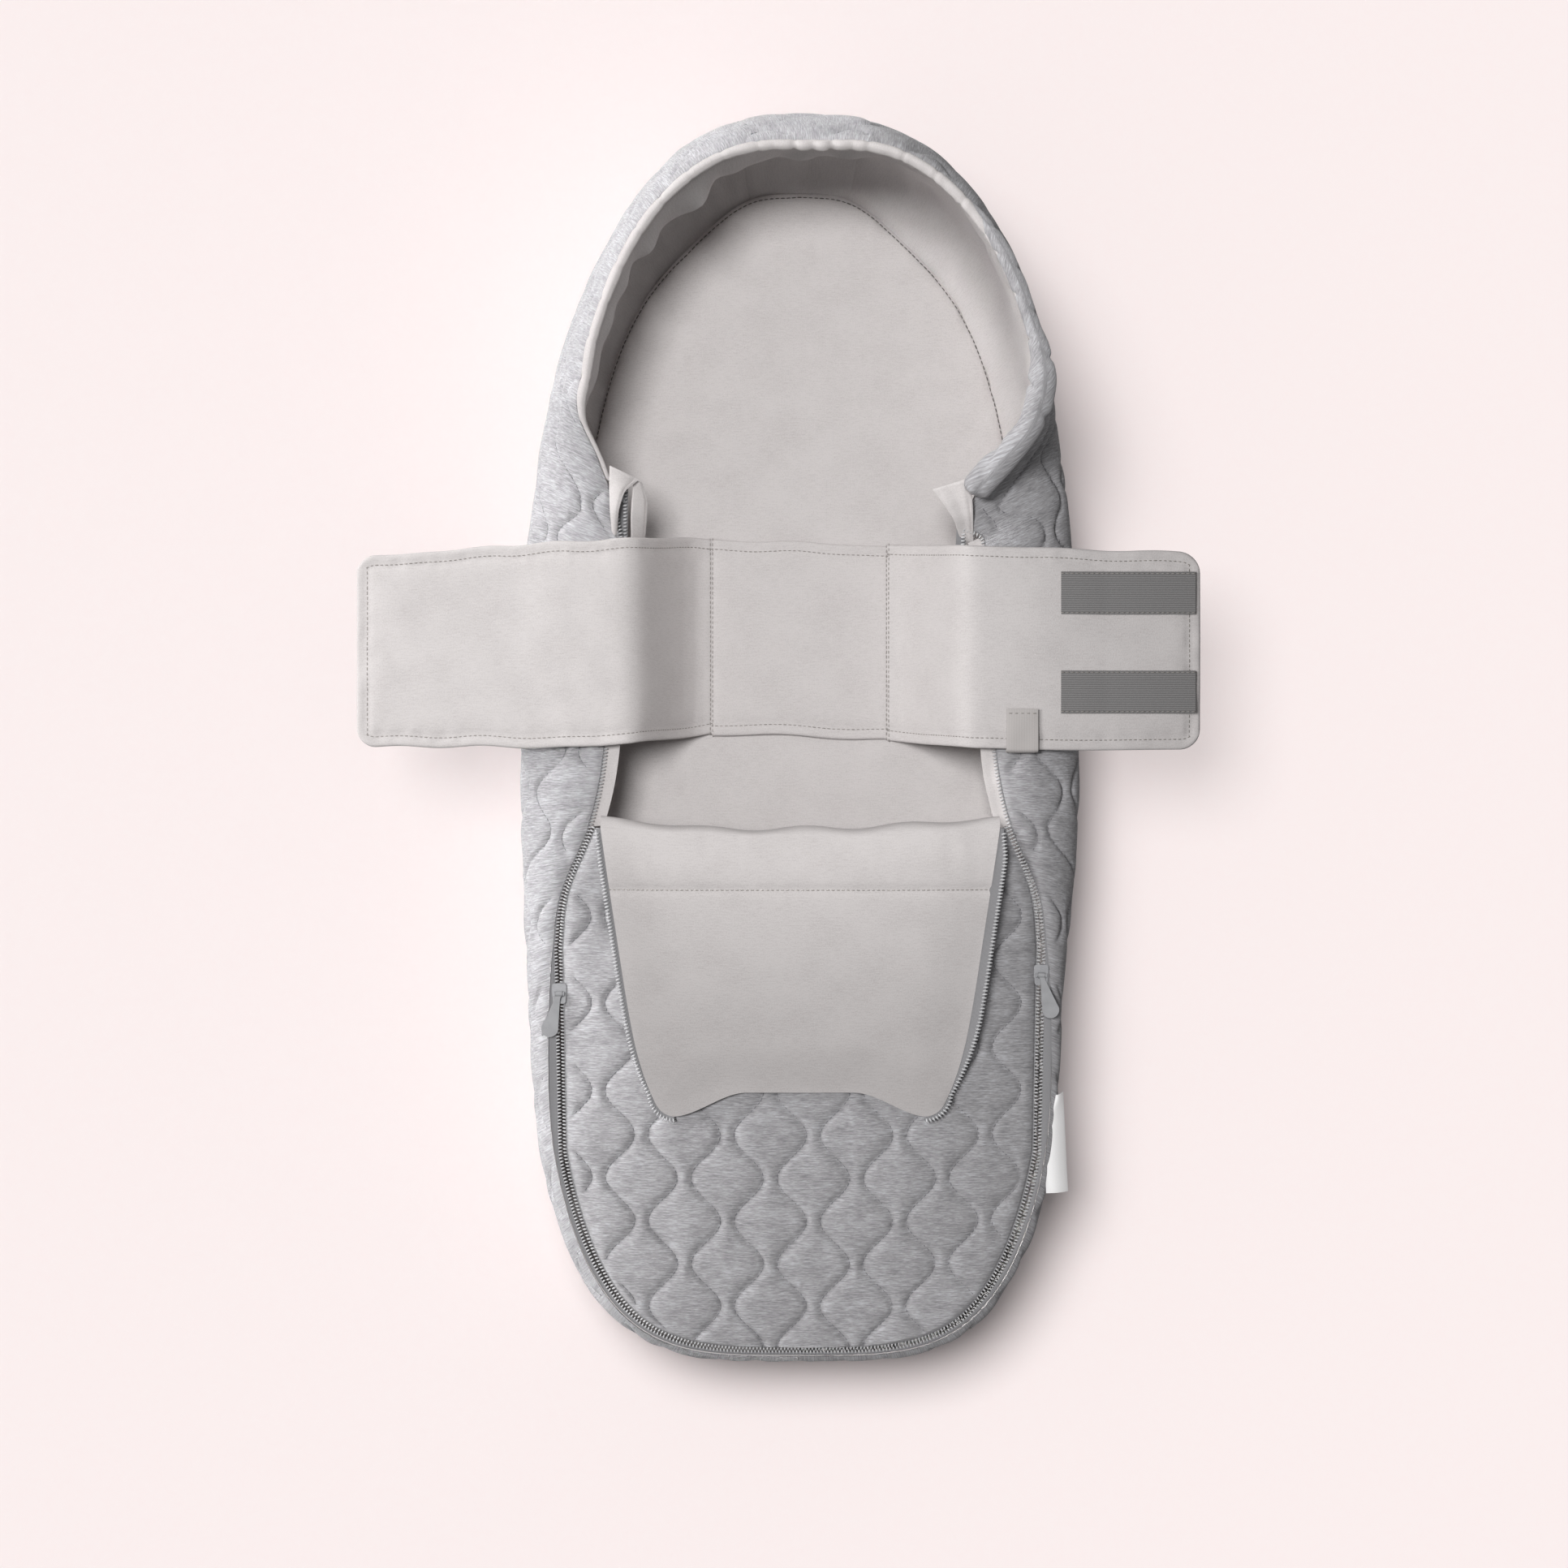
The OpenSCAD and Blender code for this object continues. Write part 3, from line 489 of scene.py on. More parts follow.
@dataclass(frozen=True)
class MelangeJersey(Finish):
    """Quilted cotton jersey spun from grey and white fibres: short streaks across the bag, a matt knit face."""

    dark: str = "#807f82"
    pale: str = "#b9b9bd"
    streak_mm: float = 6.5
    yarn_mm: float = 1.0      # real yarns are 0.5 mm apart; drawn coarser, so that they show

    def paint(self, tree: bpy.types.NodeTree) -> tuple[bpy.types.NodeSocket | None, bpy.types.NodeSocket | None]:
        """Streaks of uneven yarn over a soft cloud, with the knit's ribs as height."""
        place = self.coordinates(tree)
        streaks = noise(tree, scaled(tree, place, self.streak_mm, self.yarn_mm*0.8), 3.0, 0.62)
        fibres = noise(tree, scaled(tree, place, 2.4, 0.5), 1.0, 0.5)
        cloud = noise(tree, scaled(tree, place, 26.0, 7.0), 1.0, 0.5)
        share = summed(tree, [(streaks, 0.62), (fibres, 0.2), (cloud, 0.18)])
        colour = blended(tree, share, [(0.36, self.dark), (0.5, self.colour), (0.64, self.pale)])
        height = summed(tree, [(streaks, 0.5), (fibres, 0.5)])
        return colour, height


@dataclass(frozen=True)
class LiningJersey(Finish):
    """Brushed cotton interlock: plain, soft and matt, with a faint knit and slight clouding."""

    shade: str = "#c3bebd"
    speck: str = "#bbb5b4"
    knit_mm: float = 0.8      # real wales are 0.6 mm apart

    def paint(self, tree: bpy.types.NodeTree) -> tuple[bpy.types.NodeSocket | None, bpy.types.NodeSocket | None]:
        """Faint clouds and slubs in the colour, and the fine knit with soft handling marks as height."""
        place = self.coordinates(tree)
        cloud = noise(tree, scaled(tree, place, 30.0, 22.0), 2.0, 0.5)
        slub = noise(tree, scaled(tree, place, 5.0, 0.9), 2.0, 0.6)
        knit = noise(tree, scaled(tree, place, self.knit_mm, self.knit_mm), 1.0, 0.5)
        share = summed(tree, [(cloud, 0.25), (slub, 0.35), (knit, 0.4)])
        colour = blended(tree, share, [(0.34, self.speck), (0.45, self.shade), (0.56, self.colour)])
        height = summed(tree, [(knit, 0.45), (slub, 0.35), (cloud, 1.2)])
        return colour, height


@dataclass(frozen=True)
class RibbedTape(Finish):
    """Woven or knitted tape with ribs across or along it: zip tape, hook strips, ribbon."""

    rib_mm: float = 0.6
    lengthwise: bool = True
    # Groove colour: painted shade, darker where the ribs' height is low.
    groove: str = "#7d7c7d"

    def paint(self, tree: bpy.types.NodeTree) -> tuple[bpy.types.NodeSocket | None, bpy.types.NodeSocket | None]:
        """Ribs as waves, with painted shade that darkens the grooves, and a slight unevenness."""
        place = self.coordinates(tree)
        # A wave texture repeats every 0.314 of its coordinates at scale 1, so 10 units make 31.8 ribs.
        ribs = add_node(tree, "ShaderNodeTexWave", {
            "Vector": scaled(tree, place, self.rib_mm*3.183, self.rib_mm*3.183), "Scale": 1.0,
            "Distortion": 0.6, "Detail": 1.0, "Detail Scale": 2.0},
            wave_type="BANDS", bands_direction="X" if self.lengthwise else "Y").outputs["Fac"]
        fuzz = noise(tree, scaled(tree, place, 0.7, 0.7), 2.0, 0.6)
        share = summed(tree, [(ribs, 0.6), (fuzz, 0.4)])
        # The same share sets height and colour, so the grooves carry painted shade.
        return blended(tree, share, [(0.2, self.groove), (0.65, self.colour)]), share


@dataclass(frozen=True)
class LoopPile(Finish):
    """Brushed loop tape: a felt of fine loops, matt and slightly mottled."""

    shade: str = "#949191"

    def paint(self, tree: bpy.types.NodeTree) -> tuple[bpy.types.NodeSocket | None, bpy.types.NodeSocket | None]:
        """Curled pile as a rough noise, in colour and height."""
        place = self.coordinates(tree)
        pile = noise(tree, scaled(tree, place, 1.1, 0.9), 4.0, 0.7)
        return blended(tree, pile, [(0.32, self.shade), (0.6, self.colour)]), pile


@dataclass(frozen=True)
class Moulded(Finish):
    """A moulded or coated surface, in Object coordinates: enamel, rubber, nylon, thread."""

    shade: str = "#828284"
    grain_mm: float = 0.5

    def coordinates(self, tree: bpy.types.NodeTree) -> bpy.types.NodeSocket:
        """Object coordinates in metres."""
        return add_node(tree, "ShaderNodeTexCoord").outputs["Object"]

    def paint(self, tree: bpy.types.NodeTree) -> tuple[bpy.types.NodeSocket | None, bpy.types.NodeSocket | None]:
        """Fine grain, and a slow change of tone."""
        place = self.coordinates(tree)
        grain = noise(tree, scaled(tree, place, self.grain_mm, self.grain_mm, 1000.0), 3.0, 0.6)
        tone = noise(tree, scaled(tree, place, 6.0, 6.0, 1000.0), 1.0, 0.5)
        share = summed(tree, [(grain, 0.5), (tone, 0.5)])
        return blended(tree, share, [(0.35, self.shade), (0.6, self.colour)]), grain


# Quilted melange jersey: the streaks give the bag its marled grey.
MELANGE = MelangeJersey("melange_jersey_quilted", "#9c9a9c", roughness=0.95, sheen=0.12, bump_mm=0.35)
# Lining jersey: pale warm grey, quite even, so that the form is read from its shading.
LINING = LiningJersey("cotton_jersey_lining", "#cac5c4", roughness=0.95, sheen=0.08, bump_mm=0.22)
# Sewing thread: a thin satin line, darker than the jersey it is sunk into.
QUILT_THREAD = Moulded("polyester_thread_grey", "#858488", roughness=0.6, shade="#6d6c70", grain_mm=0.4)
# Lining thread: nearly the lining's own colour, a shade darker.
LINING_THREAD = Moulded("polyester_thread_ivory", "#99948f", roughness=0.6, shade="#85807c", grain_mm=0.4)
# Seam thread with painted shadow: the stitches of the tight joining seam round the base, coloured dark so that they
# show the seam's shade as a thin dark line.
SEAM_SHADOW_THREAD = Moulded("polyester_seam_thread", "#6f6a67", roughness=0.8, shade="#5d5956", grain_mm=0.4)
# Zip tape: woven polyester, fine ribs along its length.
ZIP_TAPE = RibbedTape("woven_zip_tape", "#8e8d8f", roughness=0.85, bump_mm=0.1, rib_mm=0.55, groove="#79787a")
# Zip coil: drawn nylon, dull shine on each turn.
NYLON = Moulded("nylon_zip_coil", "#c2c2c3", roughness=0.42, bump_mm=0.02, shade="#adadaf", grain_mm=0.8)
# Slider: baked enamel on zinc, with the faint orange peel of the coat.
ENAMEL = Moulded("baked_enamel_on_zinc", "#88888b", roughness=0.38, bump_mm=0.03, shade="#79797c", grain_mm=0.9)
# Pull: moulded silicone rubber, matt.
RUBBER = Moulded("moulded_silicone_rubber", "#969698", roughness=0.62, bump_mm=0.03, shade="#88888a", grain_mm=0.35)
# Hook tape: woven ground with rows of cut hooks across it; the real rows are 1 mm apart.
HOOK_TAPE = RibbedTape("hook_tape_nylon", "#8a8888", roughness=0.7, bump_mm=0.3, rib_mm=1.3, lengthwise=True,
                       groove="#696767")
# Loop tape: brushed knit pile.
LOOP_TAPE = LoopPile("brushed_loop_tape", "#a8a5a4", roughness=0.95, sheen=0.2, bump_mm=0.4)
# Ribbon tab: fine cross-ribbed cotton tape.
RIBBON = RibbedTape("cotton_ribbon", "#bdb8b6", roughness=0.85, bump_mm=0.06, rib_mm=0.7, groove="#aca7a5")
# Label: woven satin, white with a soft shine.
SATIN = RibbedTape("woven_satin_label", "#f0eff0", roughness=0.5, sheen=0.1, bump_mm=0.03, rib_mm=0.5, groove="#e4e2e0")


# ---- The bag's form, shared by every piece ----


@dataclass(frozen=True)
class BagForm:
    """The shape rules of the bag, the same as the part's source uses."""

    half_w: float = 166.5
    mid_y: float = -23.0
    head_len: float = 392.0
    foot_len: float = 346.0
    head_square: float = 2.56
    foot_square: float = 3.75
    foot_taper: float = 0.065
    hood_lean: float = 7.0
    tuck: float = 40.0
    bulge_z: float = 50.0
    hood_h: float = 120.0
    slider_h: float = 76.0
    shell_t: float = 3.0
    padding_t: float = 8.0
    lining_t: float = 1.2
    edge_pinch: float = 0.4
    edge_t: float = 4.4
    tape_t: float = 0.8
    tape_w: float = 2.2
    coil_w: float = 2.0
    coil_h: float = 2.2
    coil_gap: float = 1.6
    gusset_a: float = 13.0
    rim_a: float = 60.5
    zip_top_a: float = 62.8
    throat_a: float = 66.0
    fold_a: float = 95.2
    way_a: float = 107.0
    way_end_a: float = 125.0
    foot_a: float = 177.0
    fold_y: float = -51.0
    fold_edge_z: float = 97.8
    crown_z: float = 104.0
    base_z: float = 19.0
    part_left_y: float = -142.0
    part_right_y: float = -131.0

    def level_edge(self, inset: float, curl: float) -> float:
        """Height of the wall's edge that keeps the zip beside it level along the slider's way."""
        c = math.radians(curl)
        out = (self.slider_h - self.bulge_z)/math.tan(c)
        up = inset*math.sin(c)/(1 - math.cos(c))
        share = up/math.hypot(out, up)
        return self.slider_h - self.edge_t/2 + min(self.edge_t/2, (self.edge_t - self.tape_t)*share)

    @property
    def edge(self) -> Array:
        """The wall's top edge: rows of angle, how far in, height, and how far the section curls over."""
        return np.array([
            (0, 22, 120, 62), (25, 16.5, 121, 61), (40, 12, 120.5, 60), (50, 11, 119.5, 59), (54, 13, 117, 58),
            (58, 22, 108, 64), (60.5, 40, 93.6, 82), (62.8, 51, 85.6, 93), (66, 52, 82.6, 97), (72, 51.5, 81.6, 98),
            (87, 49, 81.6, 97), (95.2, 39, 81.2, 92), (102, 20.5, 78.6, 74), (107, 14.5, 76, 62),
            (111.5, 10.7, self.level_edge(10.7, 57), 57), (116, 7.5, self.level_edge(7.5, 54), 54),
            (120.5, 4.4, self.level_edge(4.4, 50), 50), (125, 2.5, self.level_edge(2.5, 46), 46),
            (138, 1.5, 68, 30), (180, 1, 62, 20)])

    @staticmethod
    def turn(angle: Array) -> Array:
        """An angle as its distance from the head, 0 to 180."""
        return np.where(angle > 180, 360 - angle, np.abs(angle))

    def edge_value(self, angle: Array, column: int) -> Array:
        """A column of the edge table at angles, as a smooth curve through its rows."""
        rows = self.edge
        a, y = rows[:, 0], rows[:, column]
        slope = np.zeros(len(a))
        rising = (y[2:] - y[1:-1])*(y[1:-1] - y[:-2]) > 0
        slope[1:-1] = np.where(rising, (y[2:] - y[:-2])/(a[2:] - a[:-2]), 0)
        s = self.turn(np.asarray(angle, float))
        k = np.clip(np.searchsorted(a, s, side="right") - 1, 0, len(a) - 2)
        w = a[k + 1] - a[k]
        t = (s - a[k])/w
        value = (y[k]*(1 + 2*t)*(1 - t)**2 + y[k + 1]*t*t*(3 - 2*t)
                 + slope[k]*w*t*(1 - t)**2 - slope[k + 1]*w*t*t*(1 - t))
        if column == 1:
            right = (np.asarray(angle) > 0) & (np.asarray(angle) < 180)
            value = value + np.where(right, 12.0, -5.0)*smooth((s - 58.5)/3)*(1 - smooth((s - 63.8)/2.7))
            value = value - np.where(right, 0.0, 4.5)*np.exp(-((s - 57.6)/2.2)**2)
        return value

    def fullness(self, angle: Array) -> Array:
        """How far the walls' shell stands off its even section at angles: fuller at the head and the left foot."""
        angle = np.asarray(angle, float)
        return (3.2*np.exp(-(angle/22)**2) - 3.0*np.exp(-((angle + 38)/12)**2) + 4.5*np.exp(-((angle + 127)/11)**2)
                + 3.0*np.exp(-((angle + 138)/7)**2) - 8.0*np.exp(-((angle - 113)/9.5)**2))

    def outline(self, angle: Array, inset: Array, z: Array) -> Array:
        """Points of the outline, drawn in by inset, at height z."""
        angle, inset, z = np.broadcast_arrays(*(np.asarray(v, float) for v in (angle, inset, z)))
        cx, cy = np.sin(np.radians(angle)), np.cos(np.radians(angle))
        n = np.where(cy >= 0, self.head_square, self.foot_square)
        s = (np.abs(cx)**n + np.abs(cy)**n)**(-1/n)
        b = np.where(cy >= 0, self.head_len, self.foot_len) - inset
        taper = 1 - self.foot_taper*np.maximum(0, -cy*s)
        hood = np.where(cy >= 0, smooth(cy*s*2.2 - 0.5), 0)
        lean = self.hood_lean*hood*np.maximum(0, z - self.bulge_z)/(self.hood_h - self.bulge_z)
        return np.stack([(self.half_w - inset)*cx*s*taper + lean, self.mid_y + b*cy*s, z], -1)

    def section(self, angle: Array, v: Array) -> tuple[Array, Array, Array, Array]:
        """The wall's section: inset, height and the inward normal's two parts at share v of the way up."""
        curl = self.edge_value(angle, 3)
        al = np.radians(-90 + v*(90 + curl))
        c = np.radians(curl)
        low = al < 0
        reach = np.where(low, self.tuck, self.edge_value(angle, 1)/(1 - np.cos(c)))
        rise = np.where(low, self.bulge_z, (self.edge_value(angle, 2) - self.bulge_z)/np.sin(c))
        nx, nz = rise*np.cos(al), -reach*np.sin(al)
        m = np.hypot(nx, nz)
        return reach*(1 - np.cos(al)), self.bulge_z + rise*np.sin(al), nx/m, nz/m

    def wall(self, angle: Array, v: Array, depth: Array) -> Array:
        """Points of the wall at an angle, share v up, and a depth under the outer face."""
        inset, z, nx, nz = self.section(angle, v)
        return self.outline(angle, inset + depth*nx, z + depth*nz)

    def pinch(self, t: Array) -> Array:
        """Share of the padding's thickness that is left at a distance from a sewn edge."""
        return self.edge_pinch + (1 - self.edge_pinch)*smooth(t)

    def depth(self, layer: int, full: Array) -> Array:
        """Depth of a boundary: 0 outer face, 1 under the shell, 2 under the wadding, 3 inner face."""
        return (0.0, self.shell_t, self.padding_t, self.padding_t)[layer]*full + (self.lining_t if layer == 3 else 0)

    def seam(self, angle: Array) -> tuple[Array, Array]:
        """Where the zip is sewn to the wall's end face: inset and height."""
        inset, z, nx, nz = self.section(angle, np.ones_like(angle))
        d = np.minimum(self.edge_t/2/np.abs(nz), self.edge_t - self.tape_t)
        return inset + nx*d, z + nz*d

    def beside(self, angle: Array, e: Array, h: Array) -> Array:
        """Points beside the wall's edge: e past the seam in the zip's plane, h over that plane."""
        angle = np.asarray(angle, float)
        inset, z = self.seam(angle)
        lay = np.radians(42*smooth((self.turn(angle) - self.way_end_a)/25))
        return self.outline(angle, inset + e*np.cos(lay) - h*np.sin(lay), z + e*np.sin(lay) + h*np.cos(lay))

    def chain(self, angle: Array) -> Array:
        """Distance from the seam to the middle of the zip's chain, which is straight along the slider's way."""
        angle = np.asarray(angle, float)
        coil_at = self.tape_w + self.coil_w + self.coil_gap/2
        ends = np.array([self.way_a, self.way_end_a])
        start, end = self.outline(ends, self.seam(ends)[0] + coil_at, 0)
        slope = (end[0] - start[0])/(end[1] - start[1])
        s = self.turn(angle)
        o, q = self.outline(s, 0, 0), self.outline(s, 1, 0)
        a = o - q
        across = a[..., 0] - slope*a[..., 1]
        straight = (o[..., 0] - start[0] - slope*(o[..., 1] - start[1]))/np.where(np.abs(across) < 0.05, 1, across)
        inside = (s > self.way_a) & (s < self.way_end_a)
        return np.where(inside, straight - self.seam(s)[0], coil_at)

    def opened(self, side: int, y: Array) -> Array:
        """Share of the way from the slider up to the fold: 0 at the slider, 1 at the fold."""
        start = self.part_left_y if side < 0 else self.part_right_y
        return smooth((np.asarray(y) - start)/(self.fold_y - start))

    def cover_edge(self, side: int, angle: Array, e: Array, h: Array) -> Array:
        """Points of the cover's edge on one side, which rises from the slider to the fold."""
        angle = np.asarray(angle, float)
        p = self.beside(side*angle, e, h)
        y = np.where(angle <= self.fold_a + 1e-6, self.fold_y, p[..., 1])
        rise = self.fold_edge_z - self.beside(np.array([self.fold_a]), 0, 0)[0, 2]
        return np.stack([p[..., 0], y, p[..., 2] + rise*self.opened(side, y)], -1)

    def cover_side(self, side: int, angle: Array) -> Array:
        """Points where the cover meets its zip tape."""
        return self.cover_edge(side, angle, self.chain(angle) + self.coil_gap/2 + self.coil_w + self.tape_w, 0)

    def crown(self, y: Array) -> Array:
        """Height of the cover's middle line."""
        foot = self.cover_side(1, np.array([self.foot_a]))[0]
        foot_z = foot[2] + self.edge_t/2
        t = np.clip((self.fold_y - y)/(self.fold_y - foot[1]), 0, 1)
        return foot_z + (self.crown_z - foot_z)*(1 - t**2.2)**0.9

    def cover_top(self, y: Array, u: Array, low: Array) -> Array:
        """Height of the cover at share u of the way from its middle to an edge at height low."""
        return low + (self.crown(y) - low)*(1 - np.abs(u)**2.6)


@dataclass(frozen=True)
class OgeeQuilt:
    """Ogee quilting: wavy stitch lines that mirror each other, so that bulbs and necks alternate."""

    pitch: float = 25.25      # between two lines
    wave: float = 51.2        # length of one wave along a line
    swing: float = 8.6        # how far a line swings to each side
    shift: float = 7.8        # place of a column's middle, across
    start: float = -307.7     # place of a bulb's middle, along
    puff: float = 1.9
    groove: float = 0.9

    def line(self, number: int, b: Array) -> Array:
        """Where a stitch line runs, across, at places b along it."""
        sign = 1 if number % 2 == 0 else -1
        return self.shift + self.pitch*(number + 0.5) + sign*self.swing*np.cos(2*np.pi*(b - self.start)/self.wave)

    def distance(self, a: Array, b: Array) -> Array:
        """Distance of places (a across, b along) to the nearest stitch line."""
        number = np.floor((a - self.shift)/self.pitch - 0.5).astype(int)
        phase = 2*np.pi*(b - self.start)/self.wave
        nearest = np.full(np.broadcast(a, b).shape, 1e3)
        for k in (-1, 0, 1, 2):
            sign = np.where((number + k) % 2 == 0, 1.0, -1.0)
            at = self.shift + self.pitch*(number + k + 0.5) + sign*self.swing*np.cos(phase)
            slope = self.swing*2*np.pi/self.wave*np.sin(phase)
            nearest = np.minimum(nearest, np.abs(a - at)/np.hypot(1, slope))
        return nearest

    def height(self, a: Array, b: Array, points: Array, seed: int) -> Array:
        """How far the quilted face stands off its mean face.

        Args:
            a: Places across the lines, in mm.
            b: Places along the lines, in mm.
            points: The same places in space, for the cloth's unevenness.
            seed: Seed of that unevenness.

        Returns:
            Heights in mm.
        """
        d = self.distance(a, b)
        pucker = Ripple(seed, 7.0).at(points)
        slack = Ripple(seed + 1, 30.0).at(points)
        return (self.puff*(1 - np.exp(-d/3.4)) - self.groove*np.exp(-(d/1.0)**2) - 0.6*self.puff
                + 0.16*pucker*np.exp(-(d/5)**2) + 0.22*slack)


def crossings(points: Array, values: Array, up: Array) -> list[tuple[Array, Array]]:
    """Finds where a field crosses zero along a grid's rows, one crossing in each column.

    Args:
        points: The grid, (rows, columns, 3).
        values: The field, (rows, columns).
        up: The grid's normals.

    Returns:
        Runs of neighbouring crossings, as points and their normals.
    """
    sign = values[:-1]*values[1:] <= 0
    has = sign.any(axis=0)
    row = np.argmax(sign, axis=0)
    col = np.arange(values.shape[1])
    v0, v1 = values[row, col], values[row + 1, col]
    t = np.where(np.abs(v1 - v0) > 1e-9, v0/np.where(np.abs(v1 - v0) > 1e-9, v0 - v1, 1), 0)[:, None]
    place = points[row, col]*(1 - t) + points[row + 1, col]*t
    normal = up[row, col]*(1 - t) + up[row + 1, col]*t
    runs, start = [], None
    for j in range(len(has) + 1):
        if j < len(has) and has[j]:
            start = j if start is None else start
        elif start is not None:
            if j - start > 3:
                runs.append((place[start:j], normal[start:j]))
            start = None
    return runs


# ---- Repeats along a path, by Geometry Nodes ----


@dataclass(frozen=True)
class Repeat:
    """A small body repeated along paths: stitches of thread, turns of a zip's coil."""

    material: Material
    pitch: float
    length: float
    width: float
    height: float
    slant: float = 0.0        # turn in the plane of the path, in degrees
    jitter: float = 0.0       # share by which sizes differ
    segments: int = 6
    rings: int = 4

    def tree(self) -> tuple[bpy.types.NodeTree, dict[str, str]]:
        """Builds the node tree.

        Returns:
            The tree, and each input's identifier by its name.
        """
        tree = bpy.data.node_groups.new("repeat_along_path", "GeometryNodeTree")
        face = tree.interface
        face.new_socket("Geometry", in_out="INPUT", socket_type="NodeSocketGeometry")
        names = {}
        for label in ("Pitch", "Length", "Width", "Height", "Slant", "Jitter"):
            names[label] = face.new_socket(label, in_out="INPUT", socket_type="NodeSocketFloat").identifier
        face.new_socket("Geometry", in_out="OUTPUT", socket_type="NodeSocketGeometry")
        given = add_node(tree, "NodeGroupInput").outputs
        curve = add_node(tree, "GeometryNodeMeshToCurve", {"Mesh": given["Geometry"]})
        even = add_node(tree, "GeometryNodeResampleCurve", {"Curve": curve.outputs[0], "Length": given["Pitch"]},
                        mode="LENGTH")
        up = add_node(tree, "GeometryNodeInputNamedAttribute", {"Name": "up"}, data_type="FLOAT_VECTOR")
        ahead = add_node(tree, "GeometryNodeInputTangent")
        turn = add_node(tree, "FunctionNodeAlignRotationToVector", {"Vector": ahead.outputs[0]}, axis="X")
        level = add_node(tree, "FunctionNodeAlignRotationToVector",
                         {"Rotation": turn.outputs[0], "Vector": up.outputs["Attribute"]}, axis="Z", pivot_axis="X")
        slant = add_node(tree, "ShaderNodeCombineXYZ", {"Z": given["Slant"]})
        slant_turn = add_node(tree, "FunctionNodeEulerToRotation", {"Euler": slant.outputs[0]})
        slanted = add_node(tree, "FunctionNodeRotateRotation",
                           {"Rotation": level.outputs[0], "Rotate By": slant_turn.outputs[0]}, rotation_space="LOCAL")
        bead = add_node(tree, "GeometryNodeMeshUVSphere",
                        {"Segments": self.segments, "Rings": self.rings, "Radius": 0.5})
        size = add_node(tree, "ShaderNodeCombineXYZ",
                        {"X": given["Length"], "Y": given["Width"], "Z": given["Height"]})
        low = add_node(tree, "ShaderNodeMath", {0: 1.0, 1: given["Jitter"]}, operation="SUBTRACT")
        high = add_node(tree, "ShaderNodeMath", {0: 1.0, 1: given["Jitter"]}, operation="ADD")
        chance = add_node(tree, "FunctionNodeRandomValue", {2: low.outputs[0], 3: high.outputs[0], "Seed": 7},
                          data_type="FLOAT")
        varied = add_node(tree, "ShaderNodeVectorMath", {0: size.outputs[0], "Scale": chance.outputs[1]},
                          operation="SCALE")
        placed = add_node(tree, "GeometryNodeInstanceOnPoints", {
            "Points": even.outputs[0], "Instance": bead.outputs[0], "Rotation": slanted.outputs[0],
            "Scale": varied.outputs[0]})
        real = add_node(tree, "GeometryNodeRealizeInstances", {0: placed.outputs[0]})
        dressed = add_node(tree, "GeometryNodeSetMaterial", {0: real.outputs[0], "Material": self.material})
        add_node(tree, "NodeGroupOutput", {0: dressed.outputs[0]})
        return tree, names

    def make(self, name: str, paths: Sequence[tuple[Array, Array]], breaks: bool = False) -> Object:
        """Places the bodies along paths and turns them into one plain mesh.

        Args:
            name: The piece's name.
            paths: Points and up vectors of each path, in mm.
            breaks: Unused spare; paths are always separate.

        Returns:
            The object.
        """
        points = np.concatenate([p for p, _ in paths])
        ups = np.concatenate([u for _, u in paths])
        edges, start = [], 0
        for p, _ in paths:
            run = np.arange(start, start + len(p))
            edges.append(np.stack([run[:-1], run[1:]], -1))
            start += len(p)
        mesh = bpy.data.meshes.new(name + "_path")
        mesh.from_pydata((points*MM).tolist(), np.concatenate(edges).tolist(), [])
        mesh.attributes.new("up", "FLOAT_VECTOR", "POINT").data.foreach_set("vector", ups.astype(np.float32).ravel())
        carrier = bpy.data.objects.new(name + "_path", mesh)
        bpy.context.scene.collection.objects.link(carrier)
        modifier = carrier.modifiers.new("repeat", "NODES")
        tree, names = self.tree()
        modifier.node_group = tree
        sizes = {"Pitch": self.pitch*MM, "Length": self.length*MM, "Width": self.width*MM,
                 "Height": self.height*MM, "Slant": math.radians(self.slant), "Jitter": self.jitter}
        for label, value in sizes.items():
            modifier[names[label]] = float(value)
        graph = bpy.context.evaluated_depsgraph_get()
        result = bpy.data.meshes.new_from_object(carrier.evaluated_get(graph))
        result.name = name
        carrier.modifiers.remove(modifier)
        bpy.data.objects.remove(carrier)
        result.shade_smooth()
        piece = bpy.data.objects.new(name, result)
        bpy.context.scene.collection.objects.link(piece)
        return piece


QUILT_STITCH = dict(pitch=3.0, length=2.3, width=0.6, height=0.55, jitter=0.12)
SEAM_STITCH = dict(pitch=3.4, length=3.0, width=0.75, height=0.5, jitter=0.1)
LINING_STITCH = dict(pitch=2.9, length=2.2, width=0.6, height=0.55, jitter=0.1)


